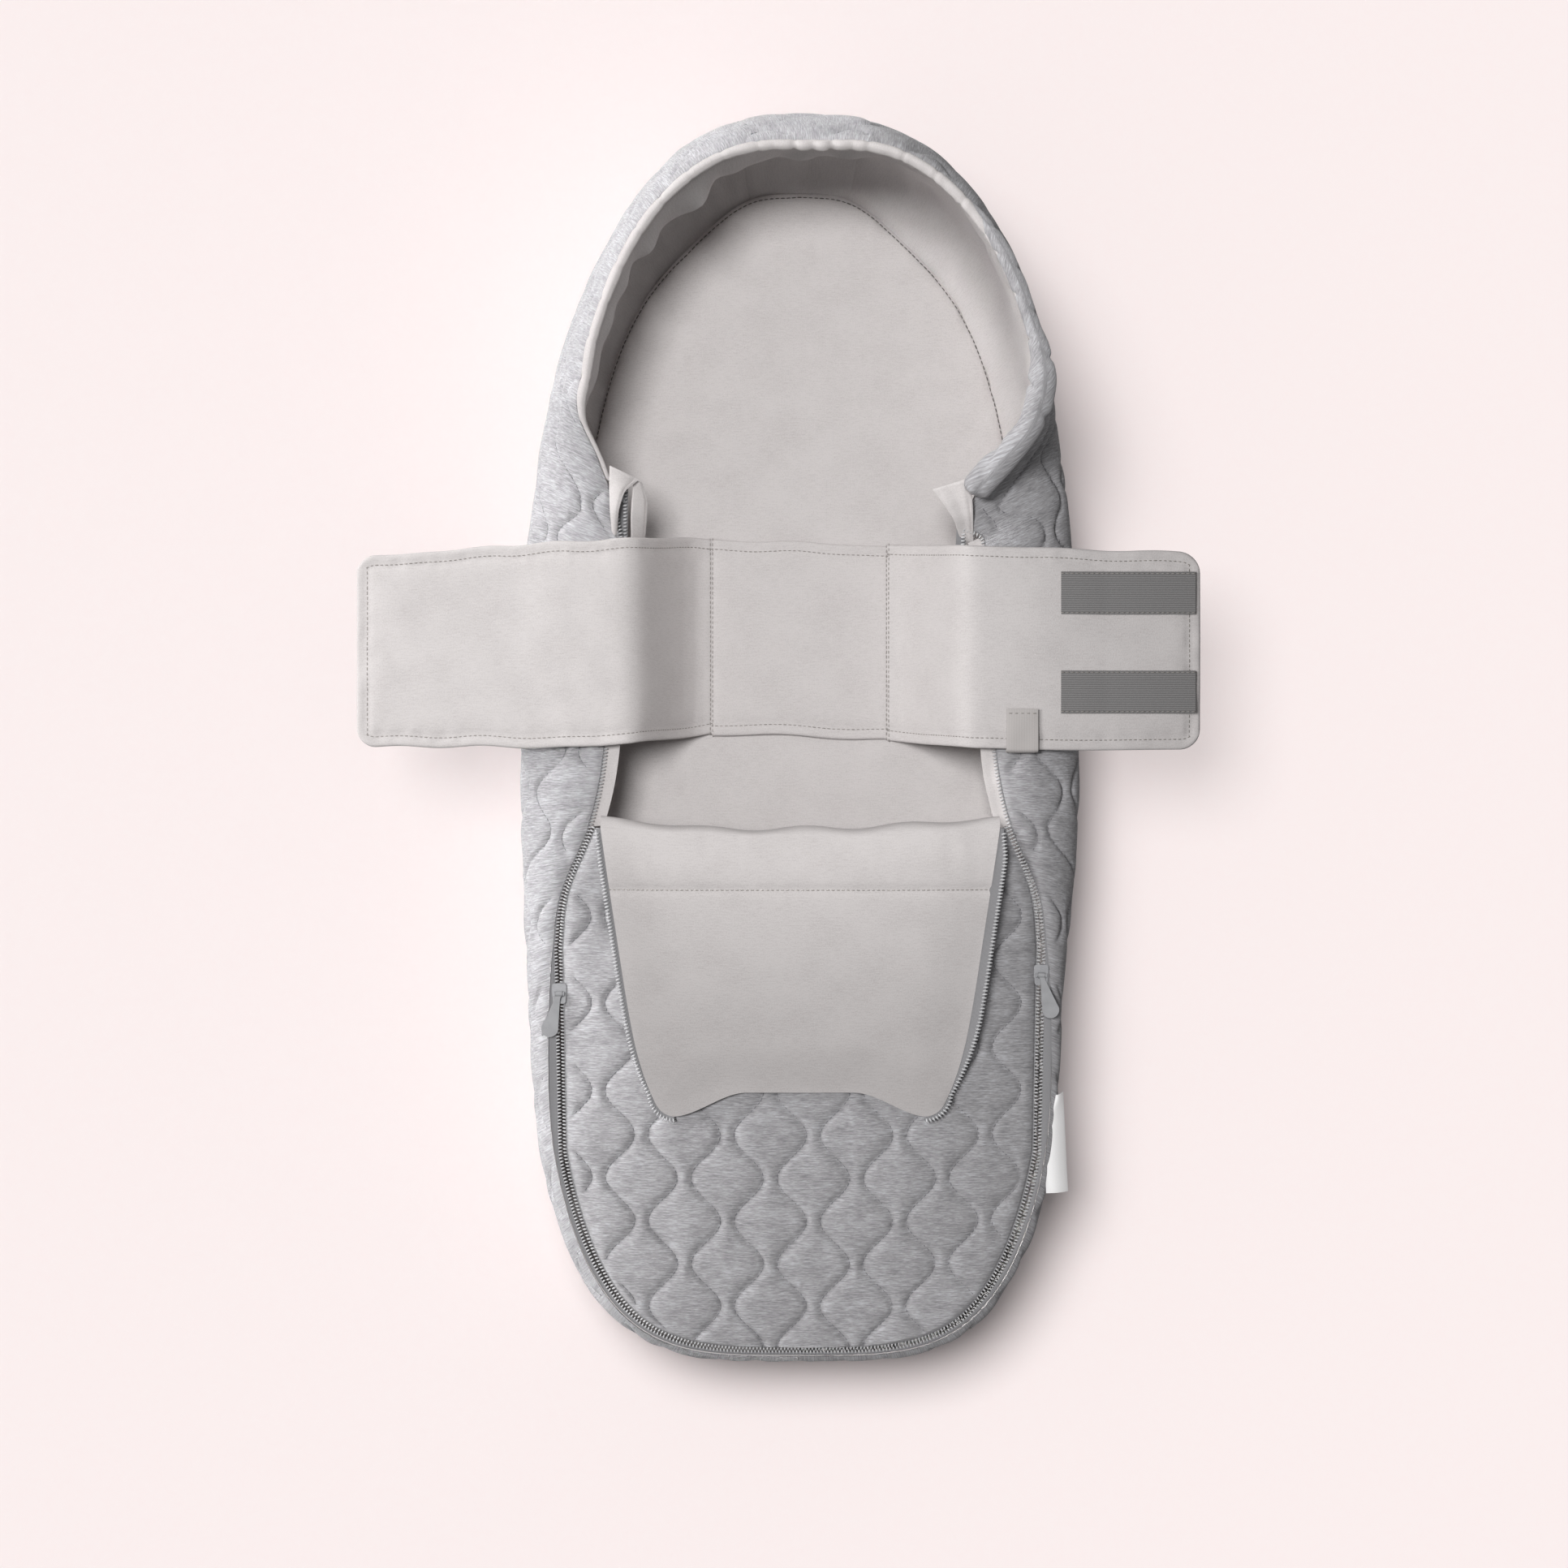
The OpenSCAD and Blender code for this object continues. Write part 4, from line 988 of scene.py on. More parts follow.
@dataclass
class Workshop:
    """Finishes a piece: material, body and the CAD nodes it stands for."""

    made: list[str] = field(default_factory=list)

    def dress(self, piece: Object, finish: Finish, body: Body, slot: Slot, replaces: Sequence[str] = ()) -> Object:
        """Gives a piece its material and its place in the frame.

        Args:
            piece: The finished mesh object.
            finish: Its finish.
            body: The CAD body that it rides on.
            slot: The record's material slot; not used.
            replaces: CAD nodes that it stands for.

        Returns:
            The same object.
        """
        if not piece.data.materials:
            piece.data.materials.append(finish.material())
        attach(piece, body.value)
        self.note(piece, replaces)
        return piece

    def bend(self, piece: Object, finish: Finish, bodies: tuple[Body, Body], ends: tuple[Sequence[float], Sequence[float]],
             slot: Slot, replaces: Sequence[str] = ()) -> Object:
        """Gives a piece its material and bakes its place into its mesh; it is not attached to a body and does not bend.

        Args:
            piece: The finished mesh object.
            finish: Its finish.
            bodies: The two bodies; not used.
            ends: Where the bending starts and ends, in mm; not used.
            slot: The record's material slot; not used.
            replaces: CAD nodes that it stands for.

        Returns:
            The same object.
        """
        if not piece.data.materials:
            piece.data.materials.append(finish.material())
        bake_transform(piece)
        self.note(piece, replaces)
        return piece

    def note(self, piece: Object, replaces: Sequence[str]) -> None:
        """Hides the replaced nodes, and reports the piece and their boxes."""
        if replaces:
            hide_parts(*replaces)
        co = np.array([v.co for v in piece.data.vertices])/MM
        tris = sum(len(p.vertices) - 2 for p in piece.data.polygons)
        self.made.append(piece.name)
        LOG.info("%s: %d triangles, box %s to %s", piece.name, tris, co.min(0).round(1), co.max(0).round(1))
        for node in replaces:
            low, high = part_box(node)
            LOG.info("  for %s: box %s to %s", node, [round(c/MM, 1) for c in low], [round(c/MM, 1) for c in high])


def sheet_skin(name: str, middle: Array, coords: Array, thickness: float | Array, crease: float = 60.0) -> Object:
    """A thin closed cloth round a middle surface, with thin edges.

    Args:
        name: The piece's name.
        middle: The middle surface, (rows, columns, 3).
        coords: Cloth coordinates in mm, (rows, columns, 2).
        thickness: The cloth's thickness, the same all over or for each point.
        crease: As for add_mesh.

    Returns:
        The object.
    """
    rows, cols = middle.shape[:2]
    i, j = np.arange(rows)[:, None], np.arange(cols)[None, :]
    border = (i == 0) | (i == rows - 1) | (j == 0) | (j == cols - 1)
    t = np.where(border, 0.35, 1.0)*thickness/2
    normal = grid_normals(middle)
    return skin(name, middle + normal*t[..., None], middle - normal*t[..., None], coords, 1, crease)


@dataclass
class Walls:
    """The padded side walls and the hood: quilted outside, plain lining inside."""

    form: BagForm
    quilt: OgeeQuilt
    shop: Workshop
    rows: int = 104
    along_mm: float = 1.8
    step: int = 4
    first_line: float = 9.0   # distance of the first pattern column under the top edge
    facing_w: float = 14.0

    def angles(self, start: float, end: float, step: float, multiple: int = 1) -> Array:
        """Angles whose stations are evenly spaced round the outline."""
        dense = np.linspace(start, end, 1500)
        run = along(self.form.outline(dense, 12.0, self.form.bulge_z))
        return np.interp(spread(0, run[-1], step, multiple), run, dense)

    def place(self, angle: Array) -> Array:
        """Running length round the outline of an angle, 0 at the head."""
        dense = np.linspace(-180, 180, 4001)
        run = along(self.form.outline(dense, 12.0, self.form.bulge_z))
        return np.interp(angle, dense, run - run[2000])

    def full(self, v: Array) -> Array:
        """Share of the padding's thickness at share v up the wall."""
        return self.form.pinch((1 - v)/0.28)

    def shell(self, name: str, start: float, end: float, seed: int, replaces: Sequence[str]) -> None:
        """Builds one quilted panel and its stitches.

        Args:
            name: The piece's name.
            start: First angle.
            end: Last angle.
            seed: Seed of the cloth's unevenness.
            replaces: CAD nodes that the panel stands for.
        """
        form = self.form
        a = self.angles(start, end, self.along_mm, self.step)[None, :]
        v = np.linspace(0, 1, self.rows + 1)[:, None]
        mean = form.wall(a, v, 0.0)
        down = along(mean[::-1])[::-1]
        s = np.broadcast_to(self.place(a), down.shape)
        ends = np.minimum(s - s[:, :1], s[:, -1:] - s)
        fade = smooth(down/8)*smooth((down[:1] - down)/12)*smooth((ends + 1.5)/7)
        pattern = down - self.first_line
        height = self.quilt.height(pattern, s, mean, seed)*fade
        turned_in = 1.7*np.exp(-(down/1.9)**1.5)
        front = form.wall(a, v, turned_in - height - form.fullness(a)*np.sin(np.pi*v)**1.5)
        lap = form.beside(a, 1.9, 0.5) - form.beside(a, 0.0, 0.0)
        front += lap*(np.exp(-(down/3.5)**2)*smooth((form.turn(a) - 63.5)/2))[..., None]
        front[..., 2] = np.maximum(front[..., 2], 0.1)
        back = form.wall(a[:, ::self.step], v[::self.step], form.depth(2, self.full(v[::self.step])))
        piece = skin(name, front, back, np.stack([down, s], -1), self.step)
        self.shop.dress(piece, MELANGE, Body.NEST, Slot.QUILT, replaces)
        low, high = round(self.rows*0.05), round(self.rows*0.96)
        up = grid_normals(front)
        if float((up*(mean - form.wall(a, v, 1.0))).sum()) < 0:
            up = -up
        paths = []
        for k in range(-1, 8):
            field_k = (pattern - self.quilt.line(k, s))[low:high]
            paths += crossings(front[low:high] + up[low:high]*0.12, field_k, up[low:high])
        stitches = Repeat(QUILT_THREAD.material(), **QUILT_STITCH).make(name + "_stitches", paths)
        self.shop.dress(stitches, QUILT_THREAD, Body.NEST, Slot.QUILT)

    def lining(self, name: str, start: float, end: float, seed: int, replaces: Sequence[str]) -> None:
        """Builds one panel of the walls' lining, with soft creases and puckers at its foot seam.

        Args:
            name: The piece's name.
            start: First angle.
            end: Last angle.
            seed: Seed of the creases.
            replaces: CAD nodes that the panel stands for.
        """
        form = self.form
        a = self.angles(start, end, 3.0, 2)[None, :]
        v = np.linspace(0, 1, 61)[:, None]
        face = form.depth(3, self.full(v))
        mean = form.wall(a, v, face)
        up = along(mean)
        down = up[-1:] - up
        s = np.broadcast_to(self.place(a), up.shape)
        ends = np.minimum(s - s[:, :1], s[:, -1:] - s)
        flat = np.stack([up*0.35, s, 0*s], -1)
        slack = (1.0*Ripple(seed, 60.0).at(mean) + 0.7*Ripple(seed + 1, 16.0).at(flat)*np.exp(-((up - 22)/16)**2)
                 + 0.5*Ripple(seed + 2, 22.0).at(flat))
        slack = (slack + 1.2)*smooth(down/10)*smooth(up/8)*smooth((ends + 1)/6)
        front = form.wall(a, v, face + np.maximum(slack, -0.6))
        back = form.wall(a[:, ::2], v[::2], form.depth(2, self.full(v[::2])) + 0.05)
        piece = skin(name, front, back, np.stack([up, s], -1), 2)
        self.shop.dress(piece, LINING, Body.NEST, Slot.LINING, replaces)
        length, width = float(s[0, -1] - s[0, 0])*MM, float(up[-1].max())*MM
        flat = (round(width + 5e-4, 3), round(length + 5e-4, 3))

    def facing(self) -> None:
        """Builds the loose facing band inside the hood's casing."""
        form = self.form
        a = self.angles(-60.0, 60.0, 2.4)[None, :]
        w = np.linspace(0, 1, 9)[:, None]
        inset, z = form.seam(a)
        s = self.place(a)
        line = np.stack([s, 0*s, 0*s], -1)
        head = np.exp(-((a - 1.5)/9)**2)
        frill = head*np.sin(2*np.pi*s/31.0 + 0.8*Ripple(34, 30.0).at(line))
        side = smooth((a + 20)/50)
        sag = np.radians(60 + 32*side - 14*head + 8*Ripple(31, 70.0).at(line) + (8 - 5*side)*Ripple(32, 24.0).at(line)*w
                         + 12*frill*w)
        narrow = (1 - 0.42*smooth((np.abs(a) - 36)/15))*(1 - 0.7*smooth((np.abs(a) - 53)/7))
        reach = self.facing_w*w*narrow*(1.2 - 0.5*side + 0.1*Ripple(33, 40.0).at(line))
        middle = form.outline(a, inset + 2.4 + reach*np.cos(sag) + 2.2*frill*w, z + 1.2 - reach*np.sin(sag))
        coords = np.stack(np.broadcast_arrays(self.facing_w*w, s), -1)
        piece = sheet_skin("hood_facing", middle, coords, 1.3)
        self.shop.dress(piece, LINING, Body.NEST, Slot.LINING)

    def build(self) -> None:
        """Builds all the panels."""
        g = self.form.gusset_a
        self.shell("side_quilt_left", -180, -g, 11, ["side_shell_left", "side_wadding_left"])
        self.shell("side_quilt_right", g, 180, 12, ["side_shell_right", "side_wadding_right"])
        self.shell("hood_quilt", -g, g, 13, ["hood_shell", "hood_wadding"])
        self.lining("side_lining_cloth_left", -180, -g, 21, ["side_lining_left"])
        self.lining("side_lining_cloth_right", g, 180, 22, ["side_lining_right"])
        self.lining("hood_lining_cloth", -g, g, 23, ["hood_lining"])
        self.facing()


@dataclass
class HoodRim:
    """The rolled casing along the hood's rim, gathered by its elastic at the head."""

    form: BagForm
    shop: Workshop
    walls: Walls
    radius: float = 3.1
    out: float = 3.4

    def build(self) -> None:
        """Builds the casing as one tube that thins towards both ends."""
        form = self.form
        a = self.walls.angles(-61.6, 61.2, 1.5)
        inset, z = form.seam(a)
        _, _, nx, nz = form.section(a, np.ones_like(a))
        turn = np.radians(np.arange(0, 360, 24))[None, :]
        s = self.walls.place(a)
        line = np.stack([s, 0*s, 0*s], -1)
        gather = 0.02 + 0.14*np.exp(-((a - 1.5)/8)**2)
        scallop = 1 + gather*np.abs(np.sin(np.pi*s/12.5)) - gather/2 + 0.04*Ripple(41, 26.0).at(line)
        scallop -= 0.2*np.exp(-((s % 23.0 - 11.5)/1.5)**2)
        thin = 1 - 0.36*smooth((np.abs(a) - 54)/7) - 0.4*smooth((a - 34)/9)*(1 - smooth((a - 50)/9))
        r = (self.radius*scallop*thin)[:, None]
        out = (self.out - 1.2 + 1.2*np.abs(np.sin(np.pi*s/12.5))*gather*8)[:, None]
        x, y = r*np.cos(turn), r*np.sin(turn)
        nx, nz = nx[:, None], nz[:, None]
        rings = form.outline(a[:, None], inset[:, None] - (out + x)*nz + y*nx, z[:, None] + (out + x)*nx + y*nz)
        girth = np.linspace(0, 27, rings.shape[1])[None, :]
        coords = np.stack(np.broadcast_arrays(girth, s[:, None]), -1)
        piece = tube("hood_casing", rings, coords=coords)
        self.shop.dress(piece, LINING, Body.NEST, Slot.LINING, ["rim_casing", "rim_elastic"])
        self.turned_edge()

    def turned_edge(self) -> None:
        """Builds the quilted edge that turns outwards over the right end of the rim."""
        form = self.form
        a = self.walls.angles(28.0, 61.5, 1.2)
        inset, z = form.seam(a)
        _, _, nx, nz = form.section(a, np.ones_like(a))
        turn = np.radians(np.arange(0, 360, 18))[None, :]
        s = self.walls.place(a)
        line = np.stack([s, 0*s, 0*s], -1)
        grow = smooth((a - 29)/15)
        fat = smooth((a - 50)/6)
        out, over = 0.8 + 1.0*grow + 1.8*fat, -1.0 - 1.2*grow - 3.4*fat
        centre = form.outline(a, inset - out*nz + over*nx, z + out*nx + over*nz)
        ahead = np.gradient(centre, axis=0)
        ahead /= np.linalg.norm(ahead, axis=1, keepdims=True)
        up = np.array([0, 0, 1.0]) - ahead*ahead[:, 2:]
        up /= np.linalg.norm(up, axis=1, keepdims=True)
        across = np.cross(ahead, up)
        run = along(centre)
        cap = np.sqrt(1 - np.clip(1 - (run[-1] - run)/5.0, 0, 0.999)**2)
        r = (1.0 + (3.3*grow + 3.2*fat)*(1 + 0.07*Ripple(45, 24.0).at(line)))*cap
        pinched = 1 - 0.26*np.exp(-(((s[:, None] + 7*np.sin(turn)) % 27.0 - 13.5)/1.7)**2)
        x, y = r[:, None]*pinched*np.cos(turn), r[:, None]*pinched*np.sin(turn)*1.08
        rings = centre[:, None] + x[..., None]*up[:, None] + y[..., None]*across[:, None]
        girth = np.linspace(0, 36, rings.shape[1])[None, :]
        piece = tube("hood_turned_edge", rings, coords=np.stack([0.7*(girth + s[:, None]), 0.7*(girth - s[:, None])], -1))
        self.shop.dress(piece, MELANGE, Body.NEST, Slot.QUILT)


@dataclass
class Base:
    """The padded base that the child lies on, and the quilted back under it."""

    form: BagForm
    quilt: OgeeQuilt
    shop: Workshop
    crown: float = 2.2
    seam_in: float = 28.0     # how far the cushion's seam stands in from the outline
    skirt: tuple[tuple[float, float], ...] = ((41.0, 3.2), (41.0, 9.4), (35.0, 11.6), (30.5, 13.6))

    def rings(self, inset: float, shares: Array, count: int) -> Array:
        """Rings that shrink from the outline, drawn in by inset, towards the middle line's point."""
        a = np.linspace(0, 360, count, endpoint=False)
        a = np.where(a > 180, a - 360, a)
        rim = self.form.outline(a, inset, 0.0)
        if inset > 20 and inset < 42.5 and inset != self.form.tuck + 0.5:
            rim = rim*(1 - 0.045*np.exp(-((np.abs(a) - 28)/16)**2) - 0.02*np.exp(-(a/12)**2))[:, None]
        return rim[None]*shares[:, None, None]

    def build(self) -> None:
        """Builds both pieces."""
        self.pad()
        self.back()

    def pad(self) -> None:
        """Builds the pad: a low crowned cushion whose seam is drawn down and puckered."""
        form = self.form
        width = form.half_w - self.seam_in
        depths = np.concatenate([[0, 0.4, 1.2, 2.4, 4, 6, 8, 10.5, 13.5, 17], np.linspace(21, width - 1.5, 52)])
        shares = 1 - depths/width
        grid = self.rings(self.seam_in, shares, 400)
        run = depths[:, None] + 0*grid[..., 0]
        girth = along(grid[0])[None, :] + 0*run
        line = np.stack([girth[:1] + 0*run, 0*run, 0*run], -1)
        pucker = Ripple(51, 17.0).at(line)*np.exp(-run/8) + 0.45*Ripple(52, 30.0).at(line)*np.exp(-run/20)
        z = form.base_z - 6.0*np.exp(-run/1.9) - 1.0*np.exp(-run/14) + self.crown*smooth(run/60)
        z += 0.75*pucker*smooth(run/1.5) + 0.28*Ripple(53, 80.0).at(grid) + 0.1*Ripple(54, 28.0).at(grid)
        grid[..., 2] = z
        skirt = np.concatenate([self.rings(inset, np.ones(1), 400) for inset, _ in self.skirt])
        for ring, (_, level) in zip(skirt, self.skirt):
            ring[:, 2] = level
        rings = np.concatenate([skirt, grid])
        piece = tube("base_cushion", rings, coords=rings[..., :2], crease=70)
        self.shop.dress(piece, LINING, Body.NEST, Slot.LINING, ["base_lining", "base_pad"])
        at = int(np.argmin(np.abs(depths - 1.2)))
        seam = np.concatenate([grid[at], grid[at][:1]]) + [0, 0, 0.6]
        # Real stitches, coloured dark as painted shadow of the seam's groove.
        sewn = Repeat(SEAM_SHADOW_THREAD.material(), **SEAM_STITCH).make(
            "base_seam_stitches", [(seam, np.broadcast_to([0, 0, 1.0], seam.shape))])
        self.shop.dress(sewn, SEAM_SHADOW_THREAD, Body.NEST, Slot.LINING)

    def back(self) -> None:
        """Builds the quilted back, its stitches sunk in and its bulbs just on the floor."""
        form = self.form
        shares = np.concatenate([np.linspace(1, 0.02, 96)])
        grid = self.rings(form.tuck + 0.5, shares, 480)
        edge = (1 - shares)[:, None]*127 + 0*grid[..., 0]
        height = self.quilt.height(grid[..., 0], grid[..., 1], grid, 61)
        grid[..., 2] = 1.9 - np.clip(height + 0.6, -0.9, 1.8)*smooth(edge/6)
        top = self.rings(form.tuck + 0.5, np.array([1.0, 0.5, 0.02]), 480)
        top[..., 2] = form.shell_t
        rings = np.concatenate([top[::-1], grid])
        piece = tube("back_quilt", rings, coords=rings[..., :2], crease=70)
        self.shop.dress(piece, MELANGE, Body.NEST, Slot.QUILT, ["back_panel"])


@dataclass
class BodyZip:
    """The zip's half on the walls, with its guards, stops and the folded tabs over its top ends."""

    form: BagForm
    shop: Workshop
    walls: Walls
    tooth: dict = field(default_factory=lambda: dict(pitch=2.05, length=1.25, width=3.0, height=2.0, slant=10))

    def round_foot(self, step: float) -> Array:
        """Angles from the right zip top round the foot to the left one."""
        half = self.walls.angles(self.form.zip_top_a, 180, step)
        return np.concatenate([half, 360 - half[-2::-1]])

    def build(self) -> None:
        """Builds the tape, the coil and what lies beside them."""
        form = self.form
        a = self.round_foot(2.5)
        outer = form.chain(a) - form.coil_gap/2 - form.coil_w
        up = form.beside(a, outer, 1.0) - form.beside(a, outer, 0.0)
        tape = ribbon("zip_tape_nest", form.beside(a, 0.3 + 0*a, 0.0), form.beside(a, outer + 0.5, 0.0), 0.8, up)
        self.shop.dress(tape, ZIP_TAPE, Body.NEST, Slot.TAPE, ["zip_tape_body"])
        path = form.beside(a, outer + 1.3, 0.15)
        coil = Repeat(NYLON.material(), **self.tooth).make("zip_coil_nest", [(path, up)])
        self.shop.dress(coil, NYLON, Body.NEST, Slot.COIL, ["zip_coil_body"])
        for side in Side:
            self.guard(side)
            self.tab(side)
        self.tops()
        stops = bpy.data.objects["zip_stops_body"]
        LOG.info("stops kept from the frame: %s", stops.name)

    def tops(self) -> None:
        """Builds the zip's two top ends, which show between the leaves of the tabs."""
        tapes, paths = [], []
        for x, y, z in ((-102.4, (148, 114), (85, 74)), (96.6, (131, 110), (83, 73))):
            t = np.linspace(0, 1, 20)[:, None]
            line = np.hstack([x - 0.9*t, y[0] + (y[1] - y[0])*t, z[0] + (z[1] - z[0])*t])
            up = np.broadcast_to(np.array([0.0, 0.3, 0.95]), line.shape)
            tapes.append(ribbon(f"top_{x:.0f}", line - [4.2, 0, 1.0], line + [1.6, 0, 0], 0.8, up))
            paths.append((line + [0, 0, 1.0], up))
        self.shop.dress(joined("zip_tape_tops", tapes), ZIP_TAPE, Body.NEST, Slot.TAPE)
        coil = Repeat(NYLON.material(), **self.tooth).make("zip_coil_tops", paths)
        self.shop.dress(coil, NYLON, Body.NEST, Slot.COIL)

    def guard(self, side: Side) -> None:
        """Builds the strip of lining behind the open zip."""
        form = self.form
        a = self.walls.angles(side.value*66.0, side.value*form.fold_a, 3.0)[:, None]
        e = np.linspace(0.8, 11.5, 7)[None, :]
        s = self.walls.place(a)
        line = np.stack([s, 0*s, 0*s], -1)
        h = -2.3 + 0.9*((e - 6)/6)**2 + 0.7*Ripple(71 + side.value, 38.0).at(line)*smooth(e/9)
        middle = form.beside(a + 0*e, e + 0*a, h)
        piece = sheet_skin("zip_guard_cloth_" + side.name.lower(), middle,
                           np.stack(np.broadcast_arrays(e, s), -1), 1.6)
        self.shop.dress(piece, LINING, Body.NEST, Slot.LINING, ["zip_guard_" + side.name.lower()])

    def tab(self, side: Side) -> None:
        """Builds the folded tab over the zip's top end: a leaf in front, and its back leaf on the left."""
        if side is Side.LEFT:
            leaves = (([(-111.2, 160.5, 94), (-111.6, 148, 89.5), (-111.2, 134, 88), (-109.8, 117.5, 79)],
                       [(-94.2, 152.4, 91), (-102.6, 145.6, 93), (-106.4, 134, 91), (-108.4, 117.5, 79)], 1.6),
                      ([(-97.5, 153.0, 88), (-98.4, 145, 86), (-99.2, 133, 84.5), (-99.6, 117.5, 76)],
                       [(-92.8, 151.0, 87), (-89.6, 141, 83), (-90.0, 131, 79.5), (-91.8, 117.5, 69)], 0.8))
        else:
            leaves = (([(77.6, 147.2, 86.5), (84.4, 138, 87.5), (90.6, 129, 84.5), (95.2, 117.0, 73)],
                       [(99.6, 153.4, 93), (100.6, 143, 90.5), (101.4, 132, 87.5), (102.0, 117.0, 78)], 1.2),)
        parts = []
        for k, (left, right, dome) in enumerate(leaves):
            t, w = np.linspace(0, 1, 33), np.linspace(0, 1, 17)
            rows = [np.stack([np.interp(t, np.linspace(0, 1, 4), np.array(edge)[:, c]) for c in range(3)], -1)
                    for edge in (left, right)]
            kernel = np.hanning(11)/np.hanning(11).sum()
            for row in rows:
                inner = np.stack([np.convolve(np.pad(row[:, c], 5, mode="reflect", reflect_type="odd"), kernel, "valid")
                                  for c in range(3)], -1)
                row[:] = inner
            middle = rows[0][:, None]*(1 - w)[None, :, None] + rows[1][:, None]*w[None, :, None]
            folds = 0.6 + 0.5*np.sin(w*np.pi*3) if side is Side.RIGHT else np.sin(w*np.pi)
            pleats = folds[None, :]*(1 - 0.8*t)[:, None]
            middle[..., 2] += dome*pleats - 0.8*np.exp(-((w[None, :] - 0.86)/0.05)**2)
            coords = np.stack(np.broadcast_arrays(w[None, :]*17.0, t[:, None]*38.0), -1)
            parts.append(sheet_skin(f"tab_{side.name}_{k}", middle, coords, 1.5))
        piece = joined("zip_tab_" + side.name.lower(), parts) if len(parts) > 1 else parts[0]
        piece.name = piece.data.name = "zip_tab_" + side.name.lower()
        self.shop.dress(piece, LINING, Body.NEST, Slot.LINING, ["zip_garage_" + side.name.lower()])


@dataclass
class Cover:
    """The quilted cover over the feet, with its lining and its half of the zip."""

    form: BagForm
    quilt: OgeeQuilt
    shop: Workshop
    columns: int = 208
    step: int = 4
    sag: float = 5.0          # how far the fold's middle lies footwards of its ends
    lap: float = 1.9          # how far the quilt's edge covers the zip tape

    def side(self, sign: int, angle: Array) -> Array:
        """Points of the cover's edge, which laps over its zip tape."""
        form = self.form
        return form.cover_edge(sign, angle, form.chain(angle) + form.coil_gap/2 + form.coil_w + form.tape_w - self.lap, 0)

    def stations(self, step: float, multiple: int = 1) -> Array:
        """Angles evenly spaced along the cover's edge."""
        dense = np.linspace(self.form.fold_a, self.form.foot_a, 900)
        run = along(self.side(1, dense))
        return np.interp(spread(0, run[-1], step, multiple), run, dense)

    def top(self, angle: Array, u: Array) -> Array:
        """Points of the cover's mean top face at stations and shares of the way across."""
        form = self.form
        left, right = self.side(-1, angle)[:, None], self.side(1, angle)[:, None]
        u = u[None, :]
        side = np.where((u < 0)[..., None], left, right)
        y = left[..., 1] + (right[..., 1] - left[..., 1])*(u + 1)/2
        y = y - self.sag*(1 - u*u)*np.exp((y - form.fold_y)/16)
        z = form.cover_top(y, u, side[..., 2] + form.edge_t/2)
        return np.stack([side[..., 0]*np.abs(u), y, z], -1)

    def full(self, angle: Array, u: Array) -> Array:
        """Share of the padding's thickness."""
        form = self.form
        return np.minimum(form.pinch((1 - np.abs(u[None, :]))/0.16), form.pinch((form.foot_a - angle[:, None])/16))

    def height_at(self, x: Array, y: Array) -> Array:
        """Height of the cover's mean top face under points."""
        form = self.form
        dense = np.linspace(form.fold_a, form.foot_a, 400)
        z = np.zeros(np.broadcast(x, y).shape)
        for side in (-1, 1):
            edge = self.side(side, dense)[::-1]
            w = np.interp(y, edge[:, 1], np.abs(edge[:, 0]))
            low = np.interp(y, edge[:, 1], edge[:, 2]) + form.edge_t/2
            z = np.where(np.sign(x + 1e-6) == side, form.cover_top(y, np.abs(x)/w, low), z)
        return z

    def build(self) -> None:
        """Builds the quilt, its lining, its stitches and its zip."""
        form = self.form
        a = self.stations(1.8, self.step)
        u = np.linspace(-1, 1, self.columns + 1)
        mean = self.top(a, u)
        x, y = mean[..., 0], mean[..., 1]
        half = np.abs(mean[:, :1, 0])
        edge = np.minimum((1 - np.abs(u)[None, :])*half, along(mean[:, :1])[-1] - along(mean[:, :1]))
        fade = smooth(edge/8)*smooth((form.fold_y + 2 - y)/7)
        front = mean.copy()
        front[..., 2] += self.quilt.height(x, y, mean, 81)*fade - 1.7*np.exp(-(edge/1.9)**1.5)
        lower = self.full(a[::self.step], u[::self.step])
        back = mean[::self.step, ::self.step].copy()
        back[..., 2] -= form.depth(2, lower)
        piece = skin("cover_quilt", front, back, mean[..., :2], self.step)
        self.shop.dress(piece, MELANGE, Body.NEST, Slot.QUILT, ["cover_shell", "cover_wadding"])
        self.stitches(front, mean)
        under = mean[::self.step, ::self.step].copy()
        under[..., 2] -= form.depth(3, lower) + 0.1
        lining = skin("cover_lining_cloth", under, back - [0, 0, 0.1], under[..., :2])
        self.shop.dress(lining, LINING, Body.NEST, Slot.LINING, ["cover_lining"])
        self.zip()

    def stitches(self, front: Array, mean: Array) -> None:
        """Sews the quilting lines on the cover."""
        turned = np.swapaxes(front, 0, 1)[4:-4]
        up = grid_normals(turned)
        up = up*np.sign(up[..., 2:3])
        x, y = turned[..., 0], turned[..., 1]
        paths = []
        for k in range(-7, 8):
            paths += crossings(turned + up*0.12, x - self.quilt.line(k, y), up)
        piece = Repeat(QUILT_THREAD.material(), **QUILT_STITCH).make("cover_stitches", paths)
        self.shop.dress(piece, QUILT_THREAD, Body.NEST, Slot.QUILT)

